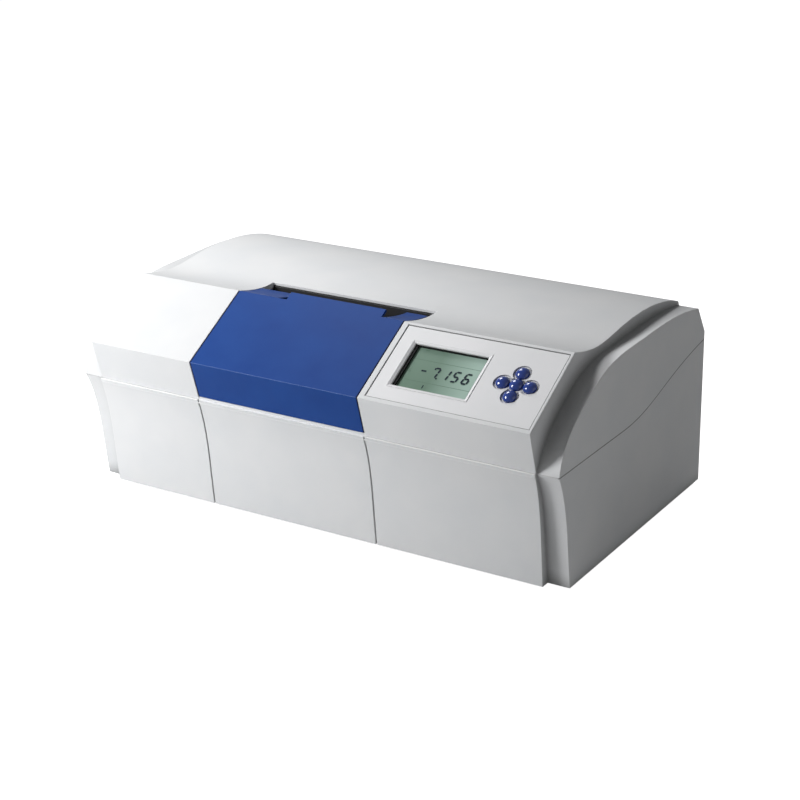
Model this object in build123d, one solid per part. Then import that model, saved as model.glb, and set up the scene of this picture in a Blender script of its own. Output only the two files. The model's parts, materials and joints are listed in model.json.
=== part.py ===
from build123d import *
import math
import os

# Bench polarimeter: a two-shell moulded housing with a blue sample lid, a sloped control panel
# and, inside, the optical bench, the rotating analyser, the sample tube and the electronics.
# Millimetres, +Z up, front towards -Y, origin on the ground under the middle of the housing.

# Overall housing
WIDTH = 600.0
DEPTH = 360.0
FOOT_H = 6.0
WALL = 3.0
CAP_W = 25.0
HALF_W = WIDTH / 2
MAIN_X = HALF_W - CAP_W
BACK_Y = DEPTH / 2
BROW_Y = -DEPTH / 2

# Sloped front face of the upper housing, from the brow up to the ridge
BROW_H = 177.0
SLOPE_DEG = 30.2
SLOPE_LEN = 108.0
SLOPE_COS = math.cos(math.radians(SLOPE_DEG))
SLOPE_SIN = math.sin(math.radians(SLOPE_DEG))
RIDGE_Y = BROW_Y + SLOPE_LEN * SLOPE_COS
RIDGE_H = BROW_H + SLOPE_LEN * SLOPE_SIN

# Heights of the housing's features above its own underside, from the ridge downwards
PART_FRONT_H = BROW_H - 47.0
VALLEY_H = RIDGE_H - 8.8
CREST_H = RIDGE_H - 1.8
REAR_TOP_H = CREST_H - 15.5
CHAMFER_H = REAR_TOP_H - 36.0
PART_BACK_H = CHAMFER_H - 7.0
CAP_CREST_H = CREST_H - 10.5
CAP_REAR_TOP_H = REAR_TOP_H - 4.0

# Depths of the housing's features, from its brow, its ridge or its back
MAIN_FOOT_Y = BROW_Y + 30.5
MAIN_LIP_Y = BROW_Y + 10.8
SKIRT_Y = BROW_Y + 13.5
CAP_FOOT_Y = BROW_Y + 41.5
CAP_LIP_Y = BROW_Y + 14.6
VALLEY_Y = RIDGE_Y + 46.65
PART_BEND_Y = BACK_Y - 200.0
CREST_Y = BACK_Y - 110.0
REAR_TOP_Y = BACK_Y - 18.0
SEAM = 0.2
SILL_DEPTH = 13.0
SILL_T = 4.0
SILL_GAP = 0.6
CHANNEL_DEPTH = 4.2
CHANNEL_START = 25.0
CHANNEL_FADE = 80.0
GROOVE_W = 2.2
GROOVE_DEPTH = 2.0

# End cap's arch: shares of the way from lip to rear top, and from parting line to crest
ARCH = ((0.0274, 0.264), (0.1364, 0.612), (0.3147, 0.916), (0.5605, 0.989), (0.754, 1.0))

# Sample lid and the cut-out that it closes
LID_LEFT_X = -138.5
LID_RIGHT_X = 76.6
LID_GAP = 0.9
LID_SILL_GAP = 4.0
CUTOUT_BACK_Y = RIDGE_Y + 65.66
EAR_END_Y = RIDGE_Y + 40.66
EAR_RIGHT_END_Y = EAR_END_Y + 8.0
EAR_LEFT_W = 51.0
EAR_RIGHT_W = 26.5
TONGUE_LEFT_X = -74.0
TONGUE_RIGHT_X = 47.5
TONGUE_REACH = 11.0
LID_RIB_T = 2.0
LID_RIB_H = 6.0
LID_RIB_GAP = 4.0
LID_OPEN_DEG = 75.0

# Lid hinge
HINGE_Y = RIDGE_Y + 28.66
HINGE_H = RIDGE_H - 31.3
HINGE_PIN_R = 2.5
HINGE_BARREL_R = 6.5
HINGE_ARM_T = 8.0
HINGE_EAR_T = 2.5
HINGE_INSET_X = 9.0
BRACKET_DROP = 30.0
RUN_FIT = 0.05
SIDE_PLAY = 0.4

# Control panel, in the sloped face's own directions: across and up the slope
PANEL_LEFT_RIM = 6.2
PANEL_RIGHT_RIM = 2.8
PANEL_FOOT_RIM = 4.5
PANEL_TOP_RIM = 2.9
PANEL_GAP = 1.0
PANEL_RECESS = 0.8
PANEL_T = 3.0
LEDGE_W = 5.0
LEDGE_T = 2.5
DISPLAY_LEFT_X = LID_RIGHT_X + PANEL_LEFT_RIM + 16.0
DISPLAY_W = 94.0
DISPLAY_FOOT_S = 22.6
DISPLAY_H = 64.6
BEZEL_BEVEL = 3.0
BEZEL_DROP = 1.5
MASK_LIP = 3.2
GLASS_DEPTH = 2.4
GLASS_T = 2.8
BOARD_T = 1.6
KEY_X = MAIN_X - PANEL_RIGHT_RIM - 38.8
KEY_S = 55.4
KEY_PITCH = 15.4
KEY_R = 7.15
KEY_HOLE_GAP = 0.2
KEY_POCKET_R = 9.9
KEY_POCKET_DEPTH = 1.6
KEY_PROUD = 4.2
KEY_FLANGE_LIP = 0.35
KEY_FLANGE_T = 1.2
KEY_TRAVEL = 1.5
KEY_STEM_R = 2.4
KEY_STEM_LEN = 3.2

# Optical axis, along X through the middle of the sample chamber
OPTIC_Y = BROW_Y + 80.0
BENCH_W = 80.0
BENCH_T = 6.0
BENCH_END = 2.0
BENCH_RIBS = (-200.0, -70.0, 70.0, 200.0)
BENCH_TOP_H = PART_FRONT_H - 12.0
OPTIC_H = BENCH_TOP_H + 32.0
CHASSIS_T = 1.5
CHAMBER_WALL = 2.0
CHAMBER_FRONT_Y = BROW_Y + 27.0
CHAMBER_BEAM_R = 9.0
SEAL_T = 2.6
SEAL_GAP = 0.4
WELL_R = 32.0

# Sample tube, 200 mm light path
TUBE_PATH = 200.0
TUBE_R = 8.0
TUBE_BORE_R = 4.0
TUBE_BULGE_R = 12.0
TUBE_CAP_R = 13.0
TUBE_CAP_LEN = 14.0
TUBE_CAP_LIP = 1.6
WINDOW_T = 1.5
WASHER_T = 0.8
TROUGH_W = 44.0
TROUGH_H = 22.0
TROUGH_GAP = 0.3

# Source side: lamp, condenser, polariser and modulator
MOUNT_W = 42.0
MOUNT_T = 9.0
LENS_R = 14.0
LAMP_HOUSE_LEN = 46.0
LAMP_HOUSE_W = 54.0
LAMP_HOUSE_T = 2.0
LAMP_R = 8.0
LAMP_LEN = 22.0
SOCKET_R = 11.0
SOCKET_LEN = 12.0
CONDENSER_X = LID_LEFT_X - 62.5
POLARISER_X = LID_LEFT_X - 47.5
POLARISER_T = 2.0
POLARISER_R = 12.0
LAMP_HOUSE_X = LID_LEFT_X - 113.5
COIL_LEN = 30.0
COIL_R = 19.0
COIL_BORE_R = 9.0
COIL_CORE_R = 11.0
COIL_FLANGE_T = 2.5
COIL_END_X = LID_LEFT_X - 6.5

# Analyser drive: a toothed wheel on a hollow hub, turned by a pinion on the servo motor
GEAR_MODULE = 0.8
WHEEL_TEETH = 72
PINION_TEETH = 16
BACKLASH = 0.12
TOOTH_THINNING = 0.04
WHEEL_FACE = 5.0
PINION_FACE = 8.0
WHEEL_X = LID_RIGHT_X + 45.4
HUB_R = 12.0
HUB_BORE_R = 8.0
HUB_LEN = 38.0
BEARING_R = 16.0
BEARING_W = 5.0
BLOCK_W = 48.0
BLOCK_LEN = 20.0
ANALYSER_T = 2.0
MOTOR_R = 13.0
MOTOR_LEN = 40.0
MOTOR_SHAFT_R = 2.0
MOTOR_PLATE_T = 3.0
MOTOR_BOSS_R = 6.0
MOTOR_BOSS_LEN = 2.0
MOTOR_EDGE = 4.0
MOTOR_FOOT_LEN = 14.0

# Detector side
FILTER_X = LID_RIGHT_X + 64.4
FILTER_T = 4.0
DETECTOR_R = 18.0
DETECTOR_LEN = 88.0
DETECTOR_X = LID_RIGHT_X + 75.4
DETECTOR_WALL = 2.0
PAD_H = 2.0
PHOTOTUBE_R = 14.0
PHOTOTUBE_LEN = 70.0
PREAMP_D = 30.0
PREAMP_END = 6.0

# Rear panel, recessed behind a window in the lower shell
REAR_WINDOW_HALF_W = MAIN_X - 43.0
REAR_WINDOW_LOW_H = 20.0
REAR_WINDOW_TOP_H = PART_FRONT_H - 10.0
REAR_RECESS = 6.5
REAR_PANEL_T = 1.5
REAR_OVERLAP = 8.0
INLET_X = 32.0 - REAR_WINDOW_HALF_W
INLET_H = 60.0
INLET_W = 27.4
INLET_TALL = 20.0
INLET_LIP = 2.4
INLET_FLANGE_T = 3.0
INLET_DEPTH = 17.0
PIN_SETBACK = 6.0
SWITCH_X = INLET_X + 45.0
SWITCH_W = 13.4
SWITCH_TALL = 22.2
SWITCH_FLANGE_T = 1.8
SWITCH_WALL = 1.5
ROCKER_DEG = 16.0
ROCKER_HALF = 8.1
ROCKER_PLAY = 0.4
ROCKER_PIN_R = 1.2
ROCKER_PIVOT_DEPTH = 4.5
SERIAL_X = REAR_WINDOW_HALF_W - 82.0
SERIAL_W = 19.4
SERIAL_TALL = 11.0
GUARD_RINGS = ((7.0, 11.0), (14.0, 18.0), (21.0, 26.0))
FAN_X = -60.0
FAN_H = 70.0
FAN_SIZE = 60.0
FAN_DEPTH = 15.0
FAN_BORE_R = 28.0
FAN_HUB_R = 12.0
FAN_SHAFT_R = 1.5
FAN_BLADES = 7
VENT_SLOTS = 12
VENT_PITCH = 9.0
VENT_W = 4.0
VENT_LEN = 52.0
VENT_X = 62.0

# Electronics
CHASSIS_HALF_W = MAIN_X - 13.0
CHASSIS_FRONT_Y = BROW_Y + 38.0
CHASSIS_BACK_Y = BACK_Y - 15.0
CHASSIS_EDGE_H = 12.0
TRANSFORMER_X = 57.0 - CHASSIS_HALF_W
TRANSFORMER_Y = CREST_Y
TRANSFORMER_W = 74.0
TRANSFORMER_D = 62.0
TRANSFORMER_H = 62.0
CORE_LEG = 12.0
COIL_OVERHANG = 13.0
BOARD_STAND = 10.0
STANDOFF_R = 3.0
MAIN_BOARD_X = CHASSIS_HALF_W - 97.0
MAIN_BOARD_Y = TRANSFORMER_Y
MAIN_BOARD_W = 190.0
MAIN_BOARD_D = 150.0
POWER_BOARD_W = 110.0
POWER_BOARD_X = TRANSFORMER_X + (TRANSFORMER_W + POWER_BOARD_W) / 2 + 33.0
POWER_BOARD_Y = TRANSFORMER_Y - 10.0
POWER_BOARD_D = 90.0
RESERVOIR_R = 9.0
RESERVOIR_H = 28.0
FIN_T = 2.0
FIN_PITCH = 8.0
FIN_COUNT = 5
FIN_LEN = 40.0
FIN_H = 30.0

# Fasteners and feet
POST_X = HALF_W - 14.0
POST_FRONT_Y = BROW_Y + 68.0
POST_BACK_Y = BACK_Y - 30.0
POST_R = 6.5
POST_WELL_R = 4.5
SCREW_R = 2.0
SCREW_HEAD_R = 4.0
SCREW_HEAD_H = 3.0
SCREW_GRIP = 12.0
SCREW_BITE = 14.0
SCREW_CLEAR = 0.3
FOOT_R = 14.0
FOOT_X = HALF_W - 75.0
FOOT_FRONT_Y = BROW_Y + 68.0
FOOT_BACK_Y = BACK_Y - 40.0

# Worked-out places
FLOOR_Z = FOOT_H
PART_FRONT_Z = FLOOR_Z + PART_FRONT_H
PART_BACK_Z = FLOOR_Z + PART_BACK_H
BROW_Z = FLOOR_Z + BROW_H
RIDGE_Z = FLOOR_Z + RIDGE_H
WINDOW_LOW_Z = FLOOR_Z + REAR_WINDOW_LOW_H
WINDOW_TOP_Z = FLOOR_Z + REAR_WINDOW_TOP_H
INNER_FLOOR_Z = FLOOR_Z + WALL
CHASSIS_TOP_Z = INNER_FLOOR_Z + CHASSIS_T
BENCH_TOP_Z = FLOOR_Z + BENCH_TOP_H
OPTIC_Z = FLOOR_Z + OPTIC_H
HINGE_Z = FLOOR_Z + HINGE_H
TALL_Z = FLOOR_Z + CREST_H + 60
LOW_Z = FLOOR_Z + 60
SLOPE = Plane(origin=(0, BROW_Y, BROW_Z), x_dir=(1, 0, 0), z_dir=(0, -SLOPE_SIN, SLOPE_COS))
LID_X0 = LID_LEFT_X + LID_GAP
LID_X1 = LID_RIGHT_X - LID_GAP
PANEL_X0 = LID_RIGHT_X + PANEL_LEFT_RIM
PANEL_X1 = MAIN_X - PANEL_RIGHT_RIM
PANEL_S0 = PANEL_FOOT_RIM
PANEL_S1 = SLOPE_LEN - PANEL_TOP_RIM
PANEL_TOP_N = -PANEL_RECESS
PANEL_LOW_N = PANEL_TOP_N - PANEL_T
REAR_FACE_Y = BACK_Y - REAR_RECESS
REAR_INNER_Y = REAR_FACE_Y - REAR_PANEL_T
TUBE_MID_X = (LID_LEFT_X + LID_RIGHT_X) / 2
GEAR_CENTRES = GEAR_MODULE * (WHEEL_TEETH + PINION_TEETH) / 2 + BACKLASH
PINION_Y = OPTIC_Y + GEAR_CENTRES


# Helpers

def box(x0, x1, y0, y1, z0, z1):
    """A block between two corners."""
    return Pos((x0 + x1) / 2, (y0 + y1) / 2, (z0 + z1) / 2) * Box(x1 - x0, y1 - y0, z1 - z0)


def side_prism(face, x0, x1):
    """A side view, drawn as (y, z), carried across from x0 to x1."""
    return extrude(Plane.YZ.offset(x0) * face, amount=x1 - x0)


def rod_x(radius, x0, x1, y=OPTIC_Y, z=OPTIC_Z):
    """A round bar along X."""
    return Plane.YZ.offset(x0) * Pos(y, z, 0) * extrude(Circle(radius), amount=x1 - x0)


def rod_y(radius, x, y0, y1, z):
    """A round bar along Y."""
    return Plane(origin=(x, y0, z), z_dir=(0, 1, 0)) * extrude(Circle(radius), amount=y1 - y0)


def rod_z(radius, x, y, z0, z1):
    """An upright round bar."""
    return Pos(x, y, z0) * extrude(Circle(radius), amount=z1 - z0)


def on_slope(shape, x, s, n):
    """Puts a shape drawn flat at the origin on the sloped face."""
    return SLOPE * Pos(x, s, n) * shape


def slope_box(x0, x1, s0, s1, n0, n1):
    """A block in the sloped face's own directions: across, up the slope, and out of it."""
    return on_slope(Box(x1 - x0, s1 - s0, n1 - n0), (x0 + x1) / 2, (s0 + s1) / 2, (n0 + n1) / 2)


def cap_arc(rim_r, foot, top):
    """Half of a spherical cap's outline: from (rim_r, foot) to (0, top) on the axis."""
    rise = top - foot
    radius = (rim_r ** 2 + rise ** 2) / (2 * rise)
    half = math.asin(rim_r / radius) / 2
    middle = (radius * math.sin(half), top - radius + radius * math.cos(half))
    return ThreePointArc((rim_r, foot), middle, (0, top))


def group(*solids):
    """Several separate solids kept as one node."""
    return Compound(children=[one for shape in solids for one in shape.solids()])


def inward(face, depth):
    """A face drawn in by a depth, with each curve of its outline redrawn as a smooth spline."""
    outline = offset(face, amount=-depth, kind=Kind.INTERSECTION).faces()[0].outer_wire()
    edges = []
    for edge in outline.order_edges():
        if edge.geom_type == GeomType.LINE:
            edges.append(edge)
        else:
            points = [edge.position_at(step / 14) for step in range(15)]
            edges.append(Spline(*points, tangents=[edge.tangent_at(0), edge.tangent_at(1)]))
    return make_face(edges)


# Side views of the housing

def parting_edges(lift=0.0):
    """The line where the two shells meet: level in front, then a wave up to the back."""
    start = (BROW_Y - 20, PART_FRONT_Z + lift)
    bend = (PART_BEND_Y, PART_FRONT_Z + lift)
    rise = PART_BACK_Z - PART_FRONT_Z
    run = BACK_Y - PART_BEND_Y
    middle = (PART_BEND_Y + 0.5 * run, PART_FRONT_Z + 0.44 * rise + lift)
    end = (BACK_Y + 20, PART_BACK_Z + lift)
    wave = Spline(bend, middle, end, tangents=[(1, 0), (1, 0.08)])
    return Line(start, bend) + wave


def below_parting(lift=0.0):
    """Everything under the parting line, as a block wider than the housing."""
    curve = parting_edges(lift)
    first = (BROW_Y - 20, PART_FRONT_Z + lift)
    last = (BACK_Y + 20, PART_BACK_Z + lift)
    frame = Polyline(last, (last[0], -20), (first[0], -20), first)
    return side_prism(make_face(curve + frame), -HALF_W - 5, HALF_W + 5)


def lower_view(foot_y, lip_y):
    """Side view of the lower shell: a front wall that flares out to the lip."""
    lip_z = PART_FRONT_Z
    wall = Spline((foot_y, FLOOR_Z), (foot_y - 0.28 * (foot_y - lip_y), FLOOR_Z + 0.47 * PART_FRONT_H),
                  (foot_y - 0.61 * (foot_y - lip_y), FLOOR_Z + 0.8 * PART_FRONT_H), (lip_y, lip_z))
    rest = Polyline((lip_y, lip_z), (lip_y, TALL_Z), (BACK_Y, TALL_Z), (BACK_Y, FLOOR_Z),
                    (foot_y, FLOOR_Z))
    return make_face(wall + rest)


def upper_view():
    """Side view of the main block: skirt, slope, ridge, valley, crest and rear chamfer."""
    fall_y = RIDGE_Y + 0.386 * (VALLEY_Y - RIDGE_Y)
    climb_y = (VALLEY_Y + CREST_Y) / 2
    back_y = CREST_Y + 0.6 * (REAR_TOP_Y - CREST_Y)
    top = Spline((RIDGE_Y, RIDGE_Z), (fall_y, FLOOR_Z + VALLEY_H + 4.2),
                 (VALLEY_Y, FLOOR_Z + VALLEY_H), (climb_y, FLOOR_Z + CREST_H - 3.0),
                 (CREST_Y, FLOOR_Z + CREST_H), (back_y, FLOOR_Z + CREST_H - 5.5),
                 (REAR_TOP_Y, FLOOR_Z + REAR_TOP_H))
    lean = (BROW_Y - SKIRT_Y) / (BROW_Z - PART_FRONT_Z)
    foot_y = SKIRT_Y - lean * (PART_FRONT_Z - LOW_Z)
    front = Polyline((foot_y, LOW_Z), (BROW_Y, BROW_Z), (RIDGE_Y, RIDGE_Z))
    back = Polyline((REAR_TOP_Y, FLOOR_Z + REAR_TOP_H), (BACK_Y, FLOOR_Z + CHAMFER_H),
                    (BACK_Y, LOW_Z), (foot_y, LOW_Z))
    return make_face(front + top + back)


def cap_view(sink=0.0, inset=0.0):
    """Side view of an end cap's arch, sunk by the channel's depth and drawn in by inset."""
    rear = (REAR_TOP_Y - 2, FLOOR_Z + CAP_REAR_TOP_H)
    long, tall = rear[0] - CAP_LIP_Y, CAP_CREST_H - PART_FRONT_H
    arch = [(CAP_LIP_Y, PART_FRONT_Z)]
    arch += [(CAP_LIP_Y + back * long, PART_FRONT_Z + up * tall) for back, up in ARCH] + [rear]

    def moved(point):
        out = (Vector(*point) - Vector(0, FLOOR_Z + 0.77 * PART_FRONT_H)).normalized()
        share = min(1.0, (point[1] - PART_FRONT_Z) / CHANNEL_START, (rear[0] - point[0]) / CHANNEL_FADE)
        at = Vector(*point) - out * (sink * max(0.0, share) + inset)
        return (at.X, at.Y)

    points = [moved(point) for point in arch]
    corner = moved((BACK_Y, FLOOR_Z + CHAMFER_H))
    corner = (BACK_Y - inset, corner[1])
    front = (points[0][0], LOW_Z)
    rest = Polyline(points[-1], corner, (corner[0], LOW_Z), front, points[0])
    return make_face(Spline(*points) + rest)


def cap_solid(side, inset=0.0, reach=0.0):
    """One end cap, lofted outwards through its arches: a channel that rises to the outer edge."""
    stations = [(0.0, CHANNEL_DEPTH), (0.32 * CAP_W, 0.92 * CHANNEL_DEPTH),
                (0.64 * CAP_W, 0.5 * CHANNEL_DEPTH), (CAP_W, 0.0)]
    views = [Plane.YZ.offset(side * (MAIN_X + out - inset)) * cap_view(sink, inset)
             for out, sink in stations]
    cap = loft(views)
    if reach:
        inner = Plane.YZ.offset(side * (MAIN_X - inset)) * cap_view(CHANNEL_DEPTH, inset)
        cap = cap + extrude(inner, amount=-side * reach, dir=(1, 0, 0))
    return cap


# Housing

def lower_case():
    """The lower shell: an open tub with grooves, a sill, screw posts and a rear window."""
    main = lower_view(MAIN_FOOT_Y, MAIN_LIP_Y)
    cap = lower_view(CAP_FOOT_Y, CAP_LIP_Y)
    main_in = inward(main, WALL)
    cap_in = inward(cap, WALL)
    outer = side_prism(main, -MAIN_X, MAIN_X) + side_prism(cap, -HALF_W, HALF_W)
    inner = side_prism(main_in, -MAIN_X + WALL, MAIN_X - WALL)
    inner += side_prism(cap_in, -HALF_W + WALL, HALF_W - WALL)
    tub = outer - inner
    tub += box(-MAIN_X + 1, MAIN_X - 1, MAIN_LIP_Y + 1, MAIN_LIP_Y + SILL_DEPTH,
               PART_FRONT_Z - SILL_T, PART_FRONT_Z)
    tub &= below_parting()
    tub += box(LID_LEFT_X + SEAM, LID_RIGHT_X - SEAM, SKIRT_Y, MAIN_LIP_Y + SILL_DEPTH,
               PART_FRONT_Z - SILL_T, PART_FRONT_Z + LID_SILL_GAP - SILL_GAP)
    band = main - inward(main, GROOVE_DEPTH)
    for x in (LID_LEFT_X + LID_GAP / 2, LID_RIGHT_X - LID_GAP / 2):
        groove = side_prism(band, x - GROOVE_W / 2, x + GROOVE_W / 2)
        tub -= groove & box(-HALF_W, HALF_W, BROW_Y, CAP_FOOT_Y, -1, PART_FRONT_Z + 1)
    tub -= box(-REAR_WINDOW_HALF_W, REAR_WINDOW_HALF_W, REAR_FACE_Y, BACK_Y + 1,
               WINDOW_LOW_Z, WINDOW_TOP_Z)
    half = REAR_WINDOW_HALF_W
    frame = box(-half - WALL, half + WALL, REAR_FACE_Y, BACK_Y - 1,
                WINDOW_LOW_Z - WALL, WINDOW_TOP_Z + WALL)
    tub += frame - box(-half, half, REAR_FACE_Y - 1, BACK_Y, WINDOW_LOW_Z, WINDOW_TOP_Z)
    for x in (-POST_X, POST_X):
        for y in (POST_FRONT_Y, POST_BACK_Y):
            tub += rod_z(POST_R, x, y, FLOOR_Z + 1, PART_FRONT_Z)
            tub -= rod_z(POST_WELL_R, x, y, FLOOR_Z - 1, PART_FRONT_Z - SCREW_GRIP)
            tub -= rod_z(SCREW_R + SCREW_CLEAR, x, y, FLOOR_Z, PART_FRONT_Z + 1)
    for x in (-FOOT_X, FOOT_X):
        for y in (FOOT_FRONT_Y, FOOT_BACK_Y):
            tub -= rod_z(SCREW_R, x, y, FLOOR_Z - 1, INNER_FLOOR_Z + 1)
    return tub


def lid_cutout():
    """The gap that the sample lid closes, from the front parting line to behind the ridge."""
    return box(LID_LEFT_X, LID_RIGHT_X, BROW_Y - 5, CUTOUT_BACK_Y, PART_FRONT_Z - 10, TALL_Z)


def upper_case():
    """The upper shell: main block, arched end caps, lid cut-out, panel ledge, partitions."""
    view = upper_view()
    inside = inward(view, WALL)
    shell = side_prism(view, -MAIN_X, MAIN_X)
    for side in (-1, 1):
        shell += cap_solid(side)
    shell -= side_prism(inside, -MAIN_X + WALL, MAIN_X - WALL)
    for side in (-1, 1):
        shell -= cap_solid(side, inset=WALL, reach=2 * WALL)
    for x0, x1 in ((LID_LEFT_X - 2.5, LID_LEFT_X), (LID_RIGHT_X, LID_RIGHT_X + 2.5)):
        wall = side_prism(view, x0, x1) & box(x0, x1, BROW_Y, CUTOUT_BACK_Y, PART_FRONT_Z, TALL_Z)
        shell += wall - rod_x(CHAMBER_BEAM_R + 4, x0 - 1, x1 + 1)
    shell += slope_box(LID_RIGHT_X + 1, MAIN_X - 1, 1, SLOPE_LEN - 1,
                       PANEL_LOW_N - LEDGE_T, -0.5)
    shell -= slope_box(PANEL_X0, PANEL_X1, PANEL_S0, PANEL_S1, PANEL_LOW_N, 5)
    shell -= slope_box(PANEL_X0 + LEDGE_W, PANEL_X1 - LEDGE_W, PANEL_S0 + LEDGE_W,
                       PANEL_S1 - LEDGE_W, PANEL_LOW_N - 10, 5)
    shell -= below_parting(SEAM)
    for side in (-1, 1):
        lining = cap_solid(side, inset=WALL / 2)
        for y in (POST_FRONT_Y, POST_BACK_Y):
            post = rod_z(POST_R - 1, side * POST_X, y, PART_FRONT_Z, TALL_Z) & lining
            hole = rod_z(SCREW_R + RUN_FIT, side * POST_X, y, PART_FRONT_Z - 1,
                         PART_FRONT_Z + SCREW_BITE + 2)
            shell = shell + post - hole
    return shell - lid_cutout()


def rear_panel():
    """Steel panel behind the rear window, with the inlet, switch, port, fan grille and vents."""
    low, high = WINDOW_LOW_Z - REAR_OVERLAP, WINDOW_TOP_Z + REAR_OVERLAP
    half = REAR_WINDOW_HALF_W + REAR_OVERLAP
    y0, y1 = REAR_INNER_Y, REAR_FACE_Y
    panel = box(-half, half, y0, y1, low, high)
    inlet_z = FLOOR_Z + INLET_H
    panel -= box(INLET_X - INLET_W / 2, INLET_X + INLET_W / 2, y0 - 1, y1 + 1,
                 inlet_z - INLET_TALL / 2, inlet_z + INLET_TALL / 2)
    panel -= box(SWITCH_X - SWITCH_W / 2, SWITCH_X + SWITCH_W / 2, y0 - 1, y1 + 1,
                 inlet_z - SWITCH_TALL / 2, inlet_z + SWITCH_TALL / 2)
    panel -= box(SERIAL_X - SERIAL_W / 2, SERIAL_X + SERIAL_W / 2, y0 - 1, y1 + 1,
                 inlet_z - SERIAL_TALL / 2, inlet_z + SERIAL_TALL / 2)
    fan_z = FLOOR_Z + FAN_H
    for inner_r, outer_r in GUARD_RINGS:
        ring = rod_y(outer_r, FAN_X, y0 - 1, y1 + 1, fan_z) - rod_y(inner_r, FAN_X, y0 - 1, y1 + 1, fan_z)
        bars = box(FAN_X - 1.5, FAN_X + 1.5, y0 - 1, y1 + 1, fan_z - 30, fan_z + 30)
        bars += box(FAN_X - 30, FAN_X + 30, y0 - 1, y1 + 1, fan_z - 1.5, fan_z + 1.5)
        panel -= ring - bars
    for index in range(VENT_SLOTS):
        x = VENT_X + (index - (VENT_SLOTS - 1) / 2) * VENT_PITCH
        panel -= box(x - VENT_W / 2, x + VENT_W / 2, y0 - 1, y1 + 1,
                     fan_z - VENT_LEN / 2, fan_z + VENT_LEN / 2)
    return panel


def base_plate():
    """Sheet-steel chassis lying on the lower shell's floor, its ends turned up."""
    plate = box(-CHASSIS_HALF_W, CHASSIS_HALF_W, CHASSIS_FRONT_Y, CHASSIS_BACK_Y,
                INNER_FLOOR_Z, CHASSIS_TOP_Z)
    for side in (-1, 1):
        edge = side * (CHASSIS_HALF_W - CHASSIS_T / 2)
        plate += box(edge - CHASSIS_T / 2, edge + CHASSIS_T / 2, CHASSIS_FRONT_Y, CHASSIS_BACK_Y,
                     INNER_FLOOR_Z, CHASSIS_TOP_Z + CHASSIS_EDGE_H)
    return plate


def feet():
    """Four rubber feet, each tapered and held by a stub in the floor."""
    solids = []
    for x in (-FOOT_X, FOOT_X):
        for y in (FOOT_FRONT_Y, FOOT_BACK_Y):
            pad = Pos(x, y, FOOT_H / 2) * Cone(FOOT_R - 1.5, FOOT_R, FOOT_H)
            solids.append(pad + rod_z(SCREW_R - RUN_FIT, x, y, FOOT_H - 1, INNER_FLOOR_Z - 0.2))
    return group(*solids)


def case_screws():
    """The four long screws that pull the upper shell down on to the lower one."""
    seat = PART_FRONT_Z - SCREW_GRIP
    solids = []
    for x in (-POST_X, POST_X):
        for y in (POST_FRONT_Y, POST_BACK_Y):
            head = rod_z(SCREW_HEAD_R, x, y, seat - SCREW_HEAD_H, seat)
            solids.append(head + rod_z(SCREW_R, x, y, seat - 1, PART_FRONT_Z + SCREW_BITE))
    return group(*solids)


# Sample lid and chamber

def skin_band(outer_depth, inner_depth):
    """Side view of a layer under the main block's surface, between two depths."""
    view = upper_view()
    outer = inward(view, outer_depth) if outer_depth else view
    return outer - inward(view, inner_depth)


def side_window(y0, y1, z0, z1):
    """A rectangle in the side view."""
    return Pos((y0 + y1) / 2, (z0 + z1) / 2) * Rectangle(y1 - y0, z1 - z0)


def slope_point(s, n):
    """A point of the side view at a distance up the slope and a height out of it."""
    return (BROW_Y + s * SLOPE_COS - n * SLOPE_SIN, BROW_Z + s * SLOPE_SIN + n * SLOPE_COS)


def arm_starts():
    """Where each of the two hinge arms of the lid starts, across the lid."""
    return (TONGUE_LEFT_X + HINGE_INSET_X, TONGUE_RIGHT_X - HINGE_INSET_X - HINGE_ARM_T)


def sample_lid():
    """The blue lid: front skirt, slope, two rear ears, a raised tongue, ribs and hinge arms."""
    band = skin_band(0, WALL) & side_window(BROW_Y - 5, EAR_RIGHT_END_Y,
                                            PART_FRONT_Z + LID_SILL_GAP, TALL_Z)
    lid = side_prism(band, LID_X0, LID_X1)
    lid -= box(LID_X0 + EAR_LEFT_W, LID_X1 - EAR_RIGHT_W, RIDGE_Y, CUTOUT_BACK_Y, LOW_Z, TALL_Z)
    lid -= box(LID_X0 - 1, LID_X0 + EAR_LEFT_W + 1, EAR_END_Y, CUTOUT_BACK_Y, LOW_Z, TALL_Z)
    lid += slope_box(TONGUE_LEFT_X, TONGUE_RIGHT_X, SLOPE_LEN - 10, SLOPE_LEN + TONGUE_REACH, -WALL, 0)
    rib = skin_band(WALL - 0.5, WALL + LID_RIB_H)
    rib = rib & side_window(CHAMBER_FRONT_Y + CHAMBER_WALL + LID_RIB_GAP, RIDGE_Y - 6, BROW_Z, TALL_Z)
    for x in (LID_X0 + 8, LID_X1 - 8 - LID_RIB_T):
        lid += side_prism(rib, x, x + LID_RIB_T)
    web = Polyline((HINGE_Y - HINGE_BARREL_R, HINGE_Z), slope_point(SLOPE_LEN - 14, -1.5),
                   slope_point(SLOPE_LEN + TONGUE_REACH - 1, -1.5),
                   (HINGE_Y + HINGE_BARREL_R, HINGE_Z), close=True)
    arm = make_face(web) + Pos(HINGE_Y, HINGE_Z) * Circle(HINGE_BARREL_R)
    arm -= Pos(HINGE_Y, HINGE_Z) * Circle(HINGE_PIN_R + RUN_FIT)
    for x in arm_starts():
        lid += side_prism(arm, x, x + HINGE_ARM_T)
    return lid


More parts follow.
